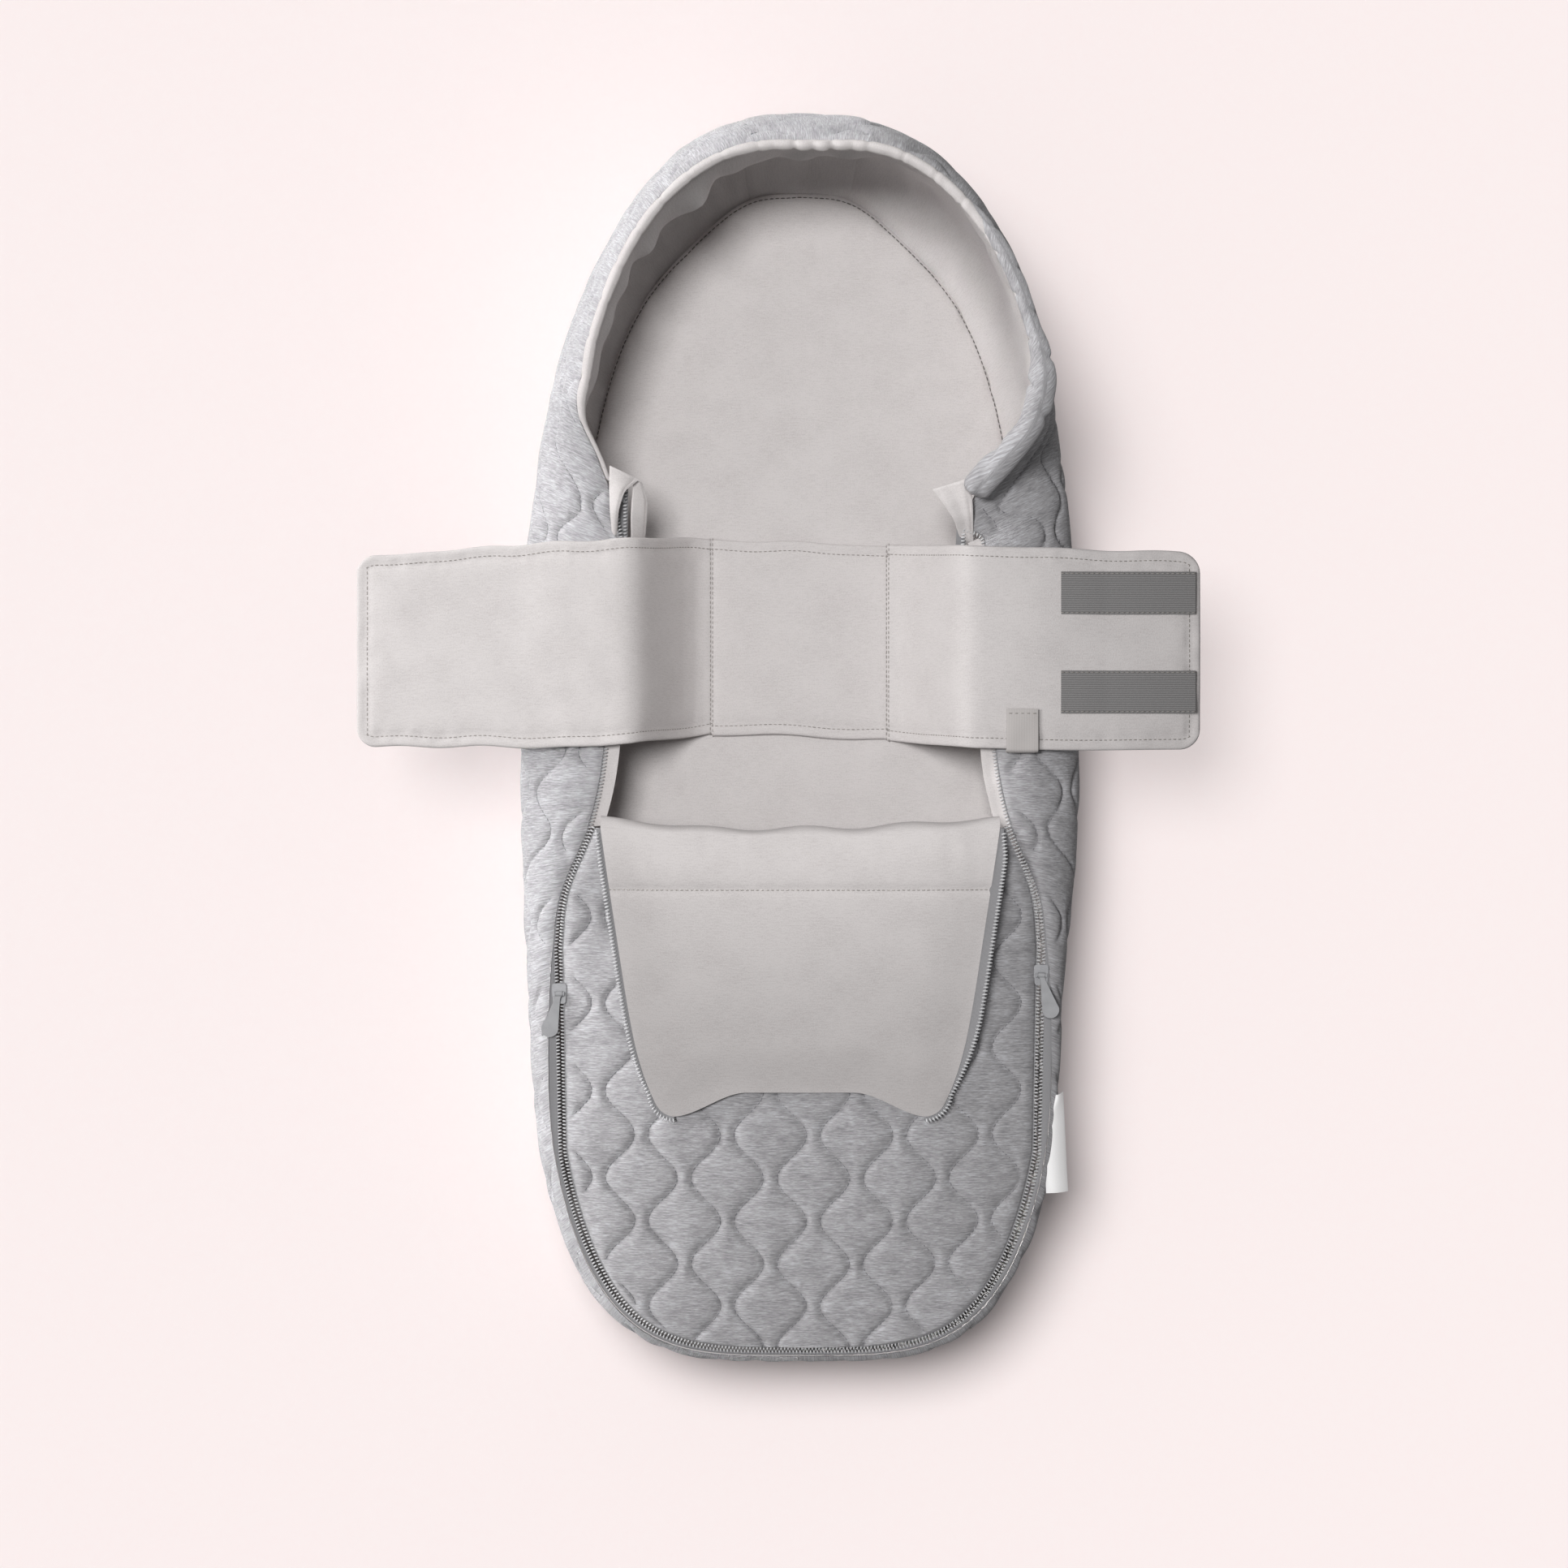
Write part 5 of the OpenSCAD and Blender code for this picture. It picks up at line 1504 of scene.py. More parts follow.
    def zip(self) -> None:
        """Builds the tape and coil round the cover's edge."""
        form = self.form
        a = self.stations(2.5)
        inner = form.chain(a) + form.coil_gap/2 + form.coil_w
        rows = {}
        for label, e, h in (("seam", inner + form.tape_w - 0.2, 0.0), ("coil", inner - 0.5, 0.0),
                            ("middle", inner - 1.3, 0.15), ("over", inner - 1.3, 1.15)):
            left, right = form.cover_edge(-1, a, e, h), form.cover_edge(1, a, e, h)
            rows[label] = np.concatenate([left, right[::-1]])
        up = rows["over"] - rows["middle"]
        tape = ribbon("zip_tape_cover_cloth", rows["seam"], rows["coil"], 0.8, up)
        self.shop.dress(tape, ZIP_TAPE, Body.NEST, Slot.TAPE, ["zip_tape_cover"])
        coil = Repeat(NYLON.material(), pitch=2.05, length=1.25, width=3.0, height=2.0, slant=-10)
        self.shop.dress(coil.make("zip_coil_cover_turns", [(rows["middle"], up)]), NYLON, Body.NEST, Slot.COIL,
                        ["zip_coil_cover"])


@dataclass
class Flap:
    """The cover's upper part, folded down with its lining up, and the roll where it folds."""

    form: BagForm
    quilt: OgeeQuilt
    shop: Workshop
    cover: Cover
    half: float = 116.0
    length: float = 154.0
    rest: float = 0.6
    squeeze: float = 0.8      # share of the padding's thickness that is left where the flap lies folded

    def width(self, v: Array) -> Array:
        """Half width of the flap at share v of its length."""
        return self.half - 21.0*v - 2.0*v*v - 7.5*v**8

    def plan(self, v: Array, u: Array) -> tuple[Array, Array]:
        """Where the flap's points lie, seen from above.

        Args:
            v: Shares of its length, (rows, 1).
            u: Shares of its half width, (1, columns).

        Returns:
            X and Y.
        """
        x = u*self.width(v)
        end = np.abs(u)*self.width(np.array(1.0))
        corner = 13.0
        into = np.clip((end - (self.width(np.array(1.0)) - corner))/corner, 0, 1)
        length = self.length + 14.5*smooth((end - 31)/44) - corner*(1 - np.sqrt(1 - into**2))
        start = self.form.fold_y - self.cover.sag*(1 - u*u)
        y = start - v*(length - self.cover.sag*(1 - u*u))
        return x, y

    def full(self, v: Array, u: Array) -> Array:
        """Share of the padding's thickness."""
        form = self.form
        return self.squeeze*np.minimum(form.pinch((1 - np.abs(u))/0.34), form.pinch((1 - v)/0.2))

    def build(self) -> None:
        """Builds the flap's two faces, its hem, its zip and the roll."""
        form = self.form
        v = np.linspace(0, 1, 85)[:, None]
        u = np.sin(np.linspace(-np.pi/2, np.pi/2, 129)*0.92)/math.sin(np.pi/2*0.92)
        u = u[None, :]
        x, y = self.plan(v, u)
        under = self.cover.height_at(x, y) + self.rest + 0.7
        full = self.full(v, u)
        space = np.stack([x, y, under], -1)
        edge = np.minimum((1 - np.abs(u))*self.half, (1 - v)*self.length)
        hem = (form.fold_y - y) - 36.0
        top = under + form.depth(3, full) - 0.9*np.exp(-(hem/2.2)**2) + 0.35*smooth(-hem/8)
        top += 1.3*np.exp(-((hem + 16)/11)**2)*smooth(edge/14)
        top += (0.45*Ripple(91, 60.0).at(space) + 0.25*Ripple(92, 20.0).at(space)*smooth(-hem/6))*smooth(edge/10)
        split = under + form.depth(2, full)
        front = np.stack([x, y, top], -1)
        lining = skin("flap_lining_cloth", front[:, :], np.stack([x, y, split + 0.05], -1)[::2, ::2],
                      np.stack([x, y], -1), 2)
        self.shop.dress(lining, LINING, Body.FLAP, Slot.LINING, ["flap_lining"])
        height = self.quilt.height(x, y, space, 93)*smooth(edge/8)
        below = np.stack([x, y, under - np.clip(1.25*height, -2.3, 0.6)], -1)
        quilt = skin("flap_quilt", below, np.stack([x, y, split], -1)[::4, ::4], np.stack([x, y], -1), 4)
        self.shop.dress(quilt, MELANGE, Body.FLAP, Slot.QUILT, ["flap_shell", "flap_wadding"])
        self.quilting(below)
        self.hem_stitches(front, hem)
        self.zip(x, y, under, full)
        self.roll(u, under, top, full)

    def quilting(self, below: Array) -> None:
        """Sews the quilting lines on the flap's outer face, which lies underneath."""
        face = np.swapaxes(below, 0, 1)[5:-5, 2:-4]
        up = grid_normals(face)
        up = -up*np.sign(up[..., 2:3])
        paths = []
        for k in range(-5, 6):
            paths += crossings(face + up*0.12, face[..., 0] - self.quilt.line(k, face[..., 1]), up)
        piece = Repeat(QUILT_THREAD.material(), **QUILT_STITCH).make("flap_quilt_stitches", paths)
        self.shop.dress(piece, QUILT_THREAD, Body.FLAP, Slot.QUILT)

    def hem_stitches(self, front: Array, hem: Array) -> None:
        """Sews the line that holds the facing under the fold."""
        up = grid_normals(front)
        up = up*np.sign(up[..., 2:3])
        paths = crossings(front + up*0.15, hem, up)
        piece = Repeat(LINING_THREAD.material(), **LINING_STITCH).make("flap_hem_stitches", paths)
        self.shop.dress(piece, LINING_THREAD, Body.FLAP, Slot.LINING)

    def zip(self, x: Array, y: Array, under: Array, full: Array) -> None:
        """Builds the tape and coil down both sides and round the corners."""
        form = self.form
        mid = under + form.edge_t/2
        tapes, paths = [], []
        for side, col in ((-1, 0), (1, -1)):
            down = np.stack([x[:, col], y[:, col], mid[:, col]], -1)
            row = np.stack([x[-1], y[-1], mid[-1]], -1)
            row = row[::-1] if side > 0 else row
            edge = np.concatenate([down, row[1:]])
            run = along(edge)
            total = run[len(down) - 1] + 20.0
            even = np.stack([np.interp(np.arange(0, total, 1.6), run, edge[:, k]) for k in range(3)], -1)
            ahead = np.gradient(even, axis=0)
            out = np.cross(ahead, [0, 0, 1.0])*(-side)
            out[:, 2] = 0
            out /= np.linalg.norm(out, axis=1, keepdims=True)
            if float((out[:, 0]*side).mean()) < 0:
                out = -out
            place = np.linspace(0, 1, len(even))[:, None]
            proud = smooth(place*9)*(1 - smooth((place - 0.62)/0.3))
            lift = np.array([0, 0, 1.0])*(0.3 + (2.2 if side > 0 else 0.6)*proud)
            reach = 2.6 + (3.2 if side > 0 else 0.3)*proud
            up = np.broadcast_to([0, 0, 1.0], even.shape)
            tapes.append(ribbon(f"flap_tape_{side}", even - out*1.0 + lift*0.3, even + out*reach + lift, 0.8, up))
            paths.append((even[2:] + (out*(reach - 0.1) + lift + [0, 0, 0.7])[2:], up[2:]))
        tape = joined("zip_tape_flap_cloth", tapes)
        self.shop.dress(tape, ZIP_TAPE, Body.FLAP, Slot.TAPE, ["zip_tape_flap"])
        coil = Repeat(NYLON.material(), pitch=2.05, length=1.25, width=3.5, height=2.1, slant=10)
        self.shop.dress(coil.make("zip_coil_flap_turns", paths), NYLON, Body.FLAP, Slot.COIL,
                        ["zip_coil_flap", "zip_stops_flap"])

    def roll(self, u: Array, under: Array, top: Array, full: Array) -> None:
        """Builds the soft roll of the fold, from the cover's lining round to the flap's."""
        form = self.form
        u = u[0]
        x, y = self.plan(np.zeros((1, 1)), u[None, :])
        x, y = x[0], y[0]
        high = top[0]
        low = self.cover.height_at(x, y) - form.depth(3, form.pinch((1 - np.abs(u))/0.16)) - 0.1
        turn = np.radians(np.linspace(-90, 90, 21))[:, None]
        girth = np.linspace(0, 30, 21)[:, None]
        bulge = (5.5 + 1.2*Ripple(95, 50.0).at(np.stack([x, 0*x, 0*x], -1)))[None, :]
        middle, half = (high + low)/2, (high - low)/2
        out = y[None, :] + bulge*np.cos(turn)
        face = np.stack(np.broadcast_arrays(x[None, :], out, middle + half*np.sin(turn)), -1)
        flat = np.stack(np.broadcast_arrays(x[None, :], y[None, :] - 0.5, middle + half*0.98*np.sin(turn)), -1)
        coords = np.stack(np.broadcast_arrays(x[None, :], girth), -1)
        piece = skin("fold_roll", face, flat[::2, ::2], coords, 2)
        self.shop.bend(piece, LINING, (Body.NEST, Body.FLAP), ((0, form.fold_y, 95), (0, form.fold_y, 113)), Slot.LINING)


@dataclass
class Wrap:
    """The swaddle wrap: a panel on the base, and two wings that rise over the walls and lie open."""

    form: BagForm
    shop: Workshop
    panel: float = 53.0
    thickness: float = 2.6
    hem: float = 6.0
    strip_w: float = 25.0
    strip_up: float = 2.0
    rise: tuple[tuple[float, float], ...] = (
        (53, 23.0), (58, 24.4), (64, 28.5), (71, 37.5), (78, 50), (85, 64), (91, 76), (95.5, 82.6), (100, 85.4),
        (106, 86.0))
    tails: tuple[tuple[tuple[float, float], ...], ...] = (
        ((116, 85.8), (128, 85.5), (140, 85.1), (150, 84.4), (165, 83.0), (200, 80.5), (300, 73.0)),
        ((116, 85.9), (128, 85.6), (140, 85.2), (150, 84.7), (165, 83.8), (180, 82.8), (235, 82.0), (300, 82.0)))
    edge_x: tuple[float, ...] = (-261, -180, -99, -75, -53, 53, 75, 101, 150, 235)
    head_y: tuple[float, ...] = (109.5, 114.5, 118.5, 121, 122.5, 119, 117.5, 114.5, 113, 110.5)
    foot_y: tuple[float, ...] = (-4.3, -3.5, -2.2, 1, 4.2, 1.2, -2.0, -4.5, -4.8, -4.8)

    def level(self, side: int, x: Array) -> Array:
        """Height of the wrap's middle surface at distances from the bag's middle line."""
        rise = np.array(self.rise + self.tails[side > 0])
        fine = np.linspace(self.panel, 300, 2000)
        z = np.interp(fine, rise[:, 0], rise[:, 1])
        kernel = np.hanning(51)
        z = np.convolve(np.pad(z, 25, mode="edge"), kernel/kernel.sum(), mode="valid")
        return np.interp(np.abs(x), fine, z)

    def rows(self, side: int, reach: float) -> tuple[Array, Array, Array]:
        """Stations along a wing, from its seam to its end: X, height and running length."""
        xs = np.linspace(self.panel, reach, 900)
        zs = self.level(side, xs)
        run = along(np.stack([xs, zs], -1))
        ends = run[-1] - np.array([2.4, 1.4, 0.7, 0.3, 0])
        even = np.concatenate([[0, 0.5, 1.2], np.arange(2.5, run[-1] - 3.2, 2.4), ends])
        return side*np.interp(even, run, xs), np.interp(even, run, zs), even

    def cloth(self, name: str, x: Array, z: Array, run: Array, corner: float, reach: float, seed: int,
              seams: tuple[bool, bool]) -> tuple[Object, Array, Array]:
        """Skins a stretch of the wrap.

        Args:
            name: The piece's name.
            x: Stations.
            z: Their heights.
            run: Their running length.
            corner: Radius of the end's corners, or 0.
            reach: Where the end is.
            seed: Seed of the cloth's unevenness.
            seams: Whether the first and last stations are seams to another panel.

        Returns:
            The object, the front grid and the distance of its points to the border.
        """
        t = np.concatenate([[0, 0.003, 0.01, 0.02], np.linspace(0.035, 0.965, 45), [0.98, 0.99, 0.997, 1]])
        foot, head = np.interp(x, self.edge_x, self.foot_y), np.interp(x, self.edge_x, self.head_y)
        drop = np.zeros_like(x)
        if corner:
            into = np.clip((np.abs(x) - (reach - corner))/corner, 0, 1)
            drop = corner*(1 - np.sqrt(1 - into**2))
        wave = np.stack([x, 0*x, 0*x], -1)
        foot = foot + drop + 0.7*Ripple(seed, 55.0).at(wave)
        head = head - drop + 0.7*Ripple(seed + 1, 55.0).at(wave)
        y = foot[:, None] + (head - foot)[:, None]*t[None, :]
        space = np.stack(np.broadcast_arrays(x[:, None], y, 0*y), -1)
        edge = np.minimum(y - foot[:, None], head[:, None] - y)
        ends = np.full_like(edge, 1e3)
        if not seams[1]:
            ends = np.minimum(ends, (run[-1] - run)[:, None])
        border = np.minimum(edge, ends)
        seam = np.minimum(run - run[0] if seams[0] else 1e3, run[-1] - run if seams[1] else 1e3)[:, None]
        wavy = 0.45*Ripple(seed + 2, 75.0).at(space) + 0.15*Ripple(seed + 3, 24.0).at(space)
        wavy *= smooth((np.abs(x)[:, None] - 30)/50) if not seams[0] or not seams[1] else 0.5
        middle = np.stack(np.broadcast_arrays(x[:, None], y, z[:, None] + wavy*0.8), -1)
        half = self.thickness/2
        round_edge = np.sqrt(1 - np.clip(1 - border/1.4, 0, 1)**2)
        full = half*(0.12 + 0.88*round_edge) + 0.55*smooth((border - self.hem)/9)
        full = full - 0.75*np.exp(-((border - self.hem)/1.1)**2) - 0.9*np.exp(-(seam/1.6)**2)
        normal = grid_normals(middle)
        normal = normal*np.sign((normal[..., 2:3]).mean())
        pucker = 0.22*Ripple(seed + 4, 8.0).at(space)*np.exp(-np.abs(border - self.hem)/4)
        front = middle + normal*(full + pucker)[..., None]
        back = middle - normal*full[..., None]*0.9
        coords = np.stack(np.broadcast_arrays(run[:, None], y), -1)
        return skin(name, front, back, coords, 1, 75), front, border

    def stitched(self, name: str, front: Array, border: Array, body: Body, seams: Sequence[int],
                 blend: tuple | None = None) -> None:
        """Sews the hem line inside the border, and the lines beside the seams.

        Args:
            name: The piece's name.
            front: The cloth's front grid.
            border: Distance of its points to the border.
            body: The body that the stitches ride on.
            seams: Rows of the grid that a seam's stitches follow.
            blend: Two bodies and the ends between them, passed on to the workshop's bend, or None.
        """
        up = grid_normals(front)
        up = up*np.sign(up[..., 2:3].mean())
        lifted = front + up*0.1
        middle = front.shape[1]//2
        low = crossings(np.swapaxes(lifted, 0, 1)[:middle], np.swapaxes(border, 0, 1)[:middle] - self.hem,
                        np.swapaxes(up, 0, 1)[:middle])
        high = crossings(np.swapaxes(lifted, 0, 1)[middle:], np.swapaxes(border, 0, 1)[middle:] - self.hem,
                         np.swapaxes(up, 0, 1)[middle:])
        paths = low + high
        inside = (border[-4] > self.hem - 0.2)
        if float(border[-1].max()) < 1.0:
            row = int(np.argmin(np.abs(border[:, middle] - self.hem)))
            keep = border[row] > self.hem - 0.4
            paths.append((lifted[row][keep], up[row][keep]))
        for row in seams:
            paths.append((lifted[row][1:-1], up[row][1:-1]))
        piece = Repeat(LINING_THREAD.material(), **LINING_STITCH).make(name, paths)
        if blend:
            self.shop.bend(piece, LINING_THREAD, blend[0], blend[1], Slot.LINING)
        else:
            self.shop.dress(piece, LINING_THREAD, body, Slot.LINING)

    def build(self) -> None:
        """Builds the panel, both wings and what is sewn on them."""
        x = np.concatenate([[-53, -52.5, -51.8], np.linspace(-50.5, 50.5, 44), [51.8, 52.5, 53]])
        z = np.full_like(x, 23.0)
        centre, front, border = self.cloth("wrap_centre", x, z, x + 53, 0, 0, 101, (True, True))
        self.shop.dress(centre, LINING, Body.NEST, Slot.LINING, ["wrap_panel"])
        self.stitched("wrap_centre_stitches", front, border, Body.NEST, [1, -2])
        self.wing(Side.LEFT, 261.0, Body.LEFT_WING, 111)
        self.wing(Side.RIGHT, 235.0, Body.RIGHT_WING, 121)
        self.hooks()
        self.loops()
        self.ribbon_tab()

    def wing(self, side: Side, reach: float, body: Body, seed: int) -> None:
        """Builds one wing from its seam on the base to its free end."""
        label = side.name.lower()
        x, z, run = self.rows(side.value, reach)
        piece, front, border = self.cloth("wing_cloth_" + label, x, z, run, 12.0, reach, seed, (True, False))
        pair, ends = (Body.NEST, body), ((side.value*88.0, 0, 84.0), (side.value*100.0, 0, 84.0))
        self.shop.bend(piece, LINING, pair, ends, Slot.LINING,
                       [f"wing_{label}_face", f"wing_{label}_fleece", f"wing_{label}_back", "wrap_riser_" + label])
        self.stitched(f"wing_{label}_stitches", front, border, body, [2], (pair, ends))

    def strip(self, name: str, side: int, x: tuple[float, float], foot: float, face: float) -> Object:
        """A flat strip of fastening tape that lies on a wing.

        Args:
            name: The piece's name.
            side: The wing's side.
            x: The strip's two ends, as distances from the bag's middle line.
            foot: Its footward edge.
            face: How far its middle lies over the wing's middle surface, below it if negative.

        Returns:
            The object.
        """
        at = np.concatenate([[x[0], x[0] + 0.5], np.linspace(x[0] + 2, x[1] - 2, 34), [x[1] - 0.5, x[1]]])
        left = np.stack([side*at, 0*at + foot, self.level(side, at) + face], -1)
        slope = np.gradient(left[:, 2], left[:, 0])
        up = np.stack([-slope, 0*at, 0*at + 1], -1)*np.sign(face)
        return ribbon(name, left, left + [0, self.strip_w, 0], 1.3, up, 0.5, 16)

    def strips(self, node: str, finish: Finish, side: Side, body: Body, slot: Slot, face: float) -> None:
        """Builds the two strips of one CAD node, where its box says."""
        low, high = (np.array(c)/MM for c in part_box(node))
        x = (low[0], high[0] + 3.0) if side is Side.RIGHT else (-high[0], -low[0])
        feet = (low[1] + self.strip_up, high[1] - self.strip_w + self.strip_up)
        parts = [self.strip(f"{node}_{i}", side.value, x, foot, face) for i, foot in enumerate(feet)]
        self.shop.dress(joined(node + "_tape", parts), finish, body, slot, [node])
        if side is Side.RIGHT:
            paths = []
            for foot in feet:
                for y in (foot + 1.0, foot + self.strip_w - 1.0):
                    at = np.linspace(x[0] + 1, x[1] - 1, 60)
                    line = np.stack([at, 0*at + y, self.level(1, at) + face + 0.7], -1)
                    paths.append((line, np.broadcast_to([0, 0, 1.0], line.shape)))
            piece = Repeat(LINING_THREAD.material(), **LINING_STITCH).make("hook_strip_stitches", paths)
            self.shop.dress(piece, LINING_THREAD, body, Slot.LINING)

    def hooks(self) -> None:
        """Builds the hook strips on the right wing's face."""
        self.strips("hook_strips", HOOK_TAPE, Side.RIGHT, Body.RIGHT_WING, Slot.HOOK, 2.1)

    def loops(self) -> None:
        """Builds the loop strips on the left wing's underside."""
        self.strips("loop_strips", LOOP_TAPE, Side.LEFT, Body.LEFT_WING, Slot.LOOP, -2.0)

    def ribbon_tab(self) -> None:
        """Builds the ribbon folded over the right wing's lower edge."""
        low, high = (np.array(c)/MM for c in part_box("wrap_tab"))
        foot = float(np.interp((low[0] + high[0])/2, self.edge_x, self.foot_y))
        middle_z = float(self.level(1, np.array([(low[0] + high[0])/2]))[0])
        top, bottom = middle_z + 3.1, middle_z - 2.3
        turn = np.radians(np.linspace(90, 270, 15))
        ring = np.stack([foot - 0.2 + 2.2*np.cos(turn)*0.9, (top + bottom)/2 + (top - bottom)/2*np.sin(turn)], -1)
        over = np.stack([np.linspace(18.5, foot + 1, 12), np.full(12, top)], -1)
        beneath = np.stack([np.linspace(foot + 1, 10, 8), np.full(8, bottom)], -1)
        path = np.concatenate([over, ring, beneath])
        w = np.linspace(low[0] + 0.3, high[0], 9)
        middle = np.stack(np.broadcast_arrays(w[None, :], path[:, :1], path[:, 1:]), -1)
        middle[..., 2] += 0.2*Ripple(131, 18.0).at(middle) + self.level(1, w)[None, :] - middle_z
        run = along(np.concatenate([path, path[:, :1]*0], -1))
        coords = np.stack(np.broadcast_arrays(w[None, :], run[:, None]), -1)
        piece = sheet_skin("wrap_ribbon_tab", middle, coords, 0.8)
        self.shop.dress(piece, RIBBON, Body.RIGHT_WING, Slot.LINING, ["wrap_tab"])
        line = middle[1, 1:-1] + [0, -0.6, 0.5]
        sewn = Repeat(LINING_THREAD.material(), **LINING_STITCH).make(
            "wrap_ribbon_stitches", [(line, np.broadcast_to([0, 0, 1.0], line.shape))])
        self.shop.dress(sewn, LINING_THREAD, Body.RIGHT_WING, Slot.LINING)


@dataclass
class SmallParts:
    """The sliders and pulls, kept from the frame with their finishes, and the blank label in the right seam."""

    form: BagForm
    shop: Workshop
    walls: Walls

    def build(self) -> None:
        """Dresses the carried-over nodes and builds the label."""
        for name, finish, bevel in (("zip_slider_left", ENAMEL, 0.25), ("zip_slider_right", ENAMEL, 0.25),
                                    ("zip_pull_left", RUBBER, 0.6), ("zip_pull_right", RUBBER, 0.6),
                                    ("zip_stops_body", ENAMEL, 0.2)):
            node = frame["nodes"][name]
            node.data.materials.clear()
            node.data.materials.append(finish.material())
            rounded = node.modifiers.new("rounded", "BEVEL")
            rounded.width, rounded.segments, rounded.limit_method = bevel*MM, 2, "ANGLE"
            LOG.info("%s: %s", name, finish.name)
        self.label()

    def label(self) -> None:
        """Builds the folded satin label, blank, that stands out of the seam over the wall."""
        t, w = np.linspace(0, 1, 25)[:, None], np.linspace(0, 1, 13)[None, :]
        x = 143.6 + 1.9*t + (12.2 + 1.2*t)*w + 6.2*(1 - smooth(t/0.24))*(1 - w)
        y = -209.5 + 1.8*w - (57.8 + 1.4*w)*t
        z = 73.2 - 3.4*t + 1.1*np.sin(np.pi*w) - 7.0*w**2.2 + 0.5*np.sin(7*t)*w
        z = z - 1.5*(1 - smooth(t/0.3))*(1 - smooth(w/0.4))
        middle = np.stack(np.broadcast_arrays(x, y, z), -1)
        coords = np.stack(np.broadcast_arrays(w*13.0, t*60.0), -1)
        piece = sheet_skin("side_label_cloth", middle, coords, 1.0)
        self.shop.dress(piece, SATIN, Body.NEST, Slot.LABEL, ["side_label"])


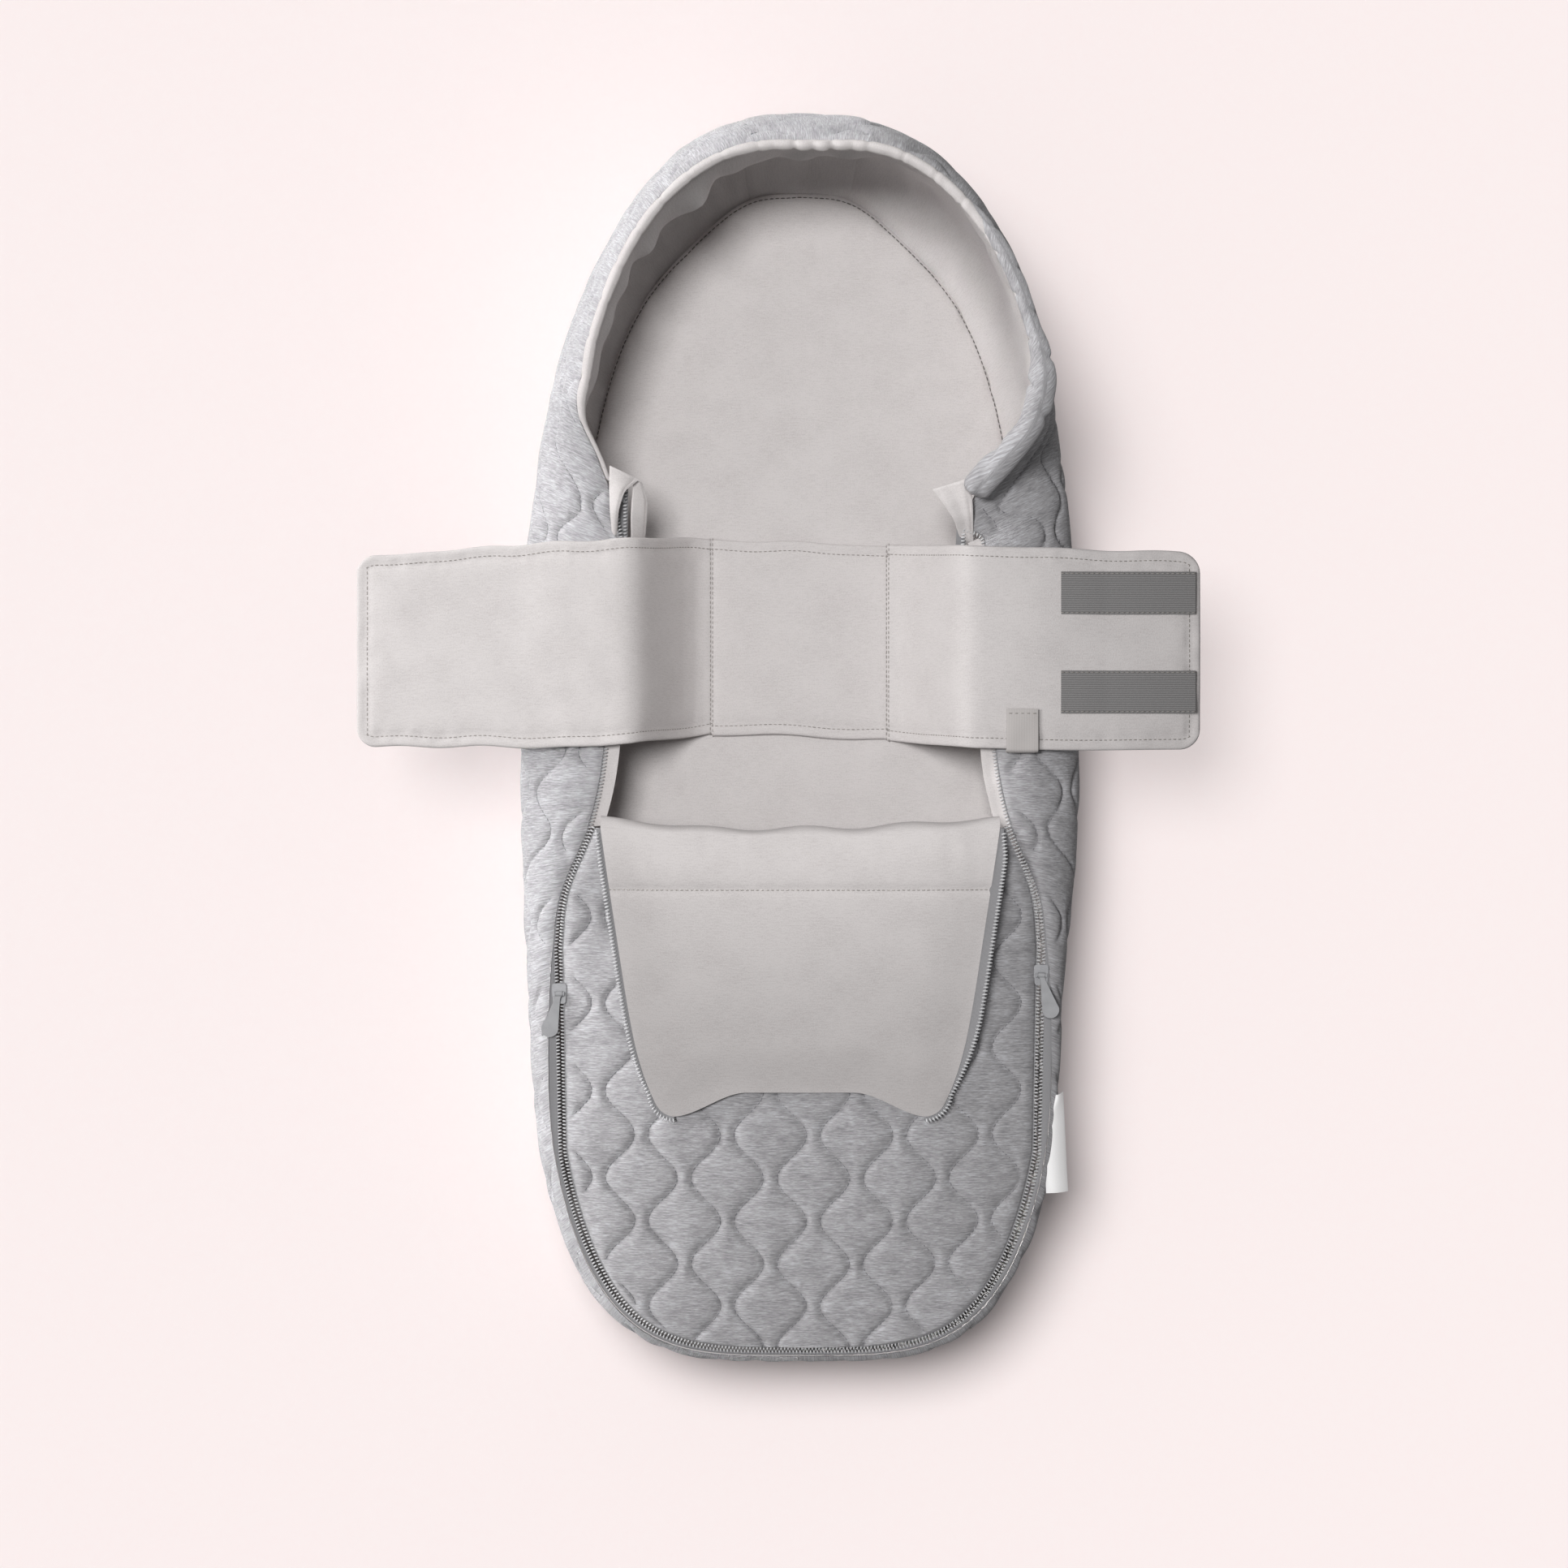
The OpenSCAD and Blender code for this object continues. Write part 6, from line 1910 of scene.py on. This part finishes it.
@dataclass
class Studio:
    """A pale floor, soft light from overhead, raking light from the left, and the camera straight above."""

    floor_colour: str = "#fbf0ef"
    height: float = 2.07
    lens: float = 77.7
    air: float = 0.2

    def build(self) -> None:
        """Makes the floor, the lights and the camera."""
        mesh = bpy.data.meshes.new("studio_floor")
        n, low = 30.0, -0.0006
        mesh.from_pydata([(-n, -n, low), (n, -n, low), (n, n, low), (-n, n, low)], [], [(0, 1, 2, 3)])
        floor = bpy.data.objects.new("studio_floor", mesh)
        bpy.context.scene.collection.objects.link(floor)
        mesh.materials.append(Moulded("studio_paper", self.floor_colour, roughness=1.0, specular=0.0, bump_mm=0.0,
                                      shade="#fbefee", grain_mm=2.0).material())
        floor.visible_diffuse = False
        named = bpy.data.objects
        flap = [named[name] for name in ("flap_lining_cloth", "flap_quilt", "fold_roll")]
        wing = [named[name] for name in ("wing_cloth_right", "wing_right_stitches", "hook_strips_tape",
                                         "hook_strip_stitches", "wrap_ribbon_tab", "wrap_ribbon_stitches")]
        cover = [named[name] for name in ("cover_quilt", "cover_stitches", "side_quilt_right",
                                          "side_quilt_right_stitches")]
        facing = [named[name] for name in ("flap_lining_cloth", "flap_hem_stitches", "fold_roll")]
        hood = [named[name] for name in ("hood_quilt", "hood_quilt_stitches", "hood_facing", "side_quilt_left",
                                         "side_quilt_left_stitches")]
        inner = [named[name] for name in ("hood_lining_cloth", "side_lining_cloth_right")]
        wings = [*wing, named["wing_cloth_left"], named["wing_left_stitches"], named["loop_strips_tape"]]
        self.spare(self.sun("overhead_soft", 136.0, 77.5, 20.0, 2.64),
                   [floor, named["hood_facing"], *wing, *cover, *facing])
        self.spare(self.sun("raking_from_left", 158.0, 3.0, 40.0, 4.8), [floor, *flap, *wing])
        self.spare(self.sun("over_the_cover", 160.0, 67.0, 16.0, 2.46), cover, "INCLUDE")
        self.spare(self.sun("over_the_flap", 140.0, 76.0, 16.0, 1.70), facing, "INCLUDE")
        self.spare(self.lamp("over_the_fold", (0.0, -0.045, 0.225), (0.60, 0.03), 0.185), facing, "INCLUDE")
        self.spare(self.sun("over_the_hood", 74.0, 58.0, 40.0, 0.62), hood, "INCLUDE")
        self.spare(self.sun("into_the_hood", 200.0, 20.0, 30.0, 0.8), inner, "INCLUDE")
        self.spare(self.sun("along_the_wing", 170.0, 35.0, 25.0, 1.8), wing, "INCLUDE")
        self.spare(self.lamp("over_the_wing", (0.0, 0.055, 0.386), (0.05, 0.30), 0.66), wing, "INCLUDE")
        wide = self.sun("across_the_floor", 118.0, 66.0, 34.0, 1.85)
        self.spare(wide, [floor], "INCLUDE")
        self.spare(wide, wings, "EXCLUDE", True)
        self.spare(self.sun("under_the_wings", 142.0, 63.0, 34.0, 0.93), [floor], "INCLUDE")
        world = bpy.data.worlds.new("studio_air")
        world.use_nodes = True
        world.node_tree.nodes["Background"].inputs["Color"].default_value = (1.0, 1.0, 1.0, 1.0)
        world.node_tree.nodes["Background"].inputs["Strength"].default_value = self.air
        scene = bpy.context.scene
        scene.world = world
        scene.view_settings.view_transform = "Standard"
        data = bpy.data.cameras.new("overhead")
        data.lens, data.sensor_width = self.lens, 36.0
        camera = bpy.data.objects.new("overhead", data)
        camera.location = (-0.0094, -0.0255, self.height)
        scene.collection.objects.link(camera)
        scene.camera = camera

    @staticmethod
    def spare(lamp: Object, objects: Sequence[Object], state: str = "EXCLUDE", shadows: bool = False) -> None:
        """Keeps a light, or the shadows in it, off some objects or on them alone.

        Args:
            lamp: The light.
            objects: The objects.
            state: EXCLUDE to keep it off them, INCLUDE to keep it on them alone.
            shadows: Whether the rule is about what throws shadows, not about what is lit.
        """
        listed = bpy.data.collections.new(f"{lamp.name}_{state.lower()}_{'shadows' if shadows else 'light'}")
        if shadows:
            lamp.light_linking.blocker_collection = listed
        else:
            lamp.light_linking.receiver_collection = listed
        for k, item in enumerate(objects):
            listed.objects.link(item)
            listed.collection_objects[k].light_linking.link_state = state

    @staticmethod
    def lamp(name: str, place: Sequence[float], size: tuple[float, float], power: float) -> Object:
        """Adds a soft box that looks straight down.

        Args:
            name: The light's name.
            place: Where it hangs, in metres.
            size: Its width and length.
            power: Its power, in watts.

        Returns:
            The light's object.
        """
        data = bpy.data.lights.new(name, "AREA")
        data.shape, data.size, data.size_y, data.energy = "RECTANGLE", *size, power
        box = bpy.data.objects.new(name, data)
        box.location = place
        bpy.context.scene.collection.objects.link(box)
        return box

    def sun(self, name: str, bearing: float, rise: float, spread_a: float, power: float) -> Object:
        """Adds a soft distant light.

        Args:
            name: The light's name.
            bearing: Where it stands, in degrees from +X towards +Y.
            rise: How high it stands, in degrees.
            spread_a: Its apparent width, in degrees.
            power: Its strength.

        Returns:
            The light's object.
        """
        data = bpy.data.lights.new(name, "SUN")
        data.angle, data.energy = math.radians(spread_a), power
        lamp = bpy.data.objects.new(name, data)
        b, r = math.radians(bearing), math.radians(rise)
        way = Vector((math.cos(b)*math.cos(r), math.sin(b)*math.cos(r), math.sin(r)))
        lamp.location = way*3
        lamp.rotation_euler = (-way).to_track_quat("-Z", "Y").to_euler()
        bpy.context.scene.collection.objects.link(lamp)
        return lamp


def main() -> None:
    """Builds the bag's sub-assemblies in order, then the studio."""
    logging.basicConfig(level=logging.INFO, format="%(name)s: %(message)s")
    form, quilt, shop = BagForm(), OgeeQuilt(), Workshop()
    walls = Walls(form, quilt, shop)
    cover = Cover(form, quilt, shop)
    for part in (walls, HoodRim(form, shop, walls), Base(form, quilt, shop), BodyZip(form, shop, walls), cover,
                 Flap(form, quilt, shop, cover), Wrap(form, shop), SmallParts(form, shop, walls), Studio()):
        part.build()
    LOG.info("%d pieces made", len(shop.made))


if __name__ == "__main__":
    main()
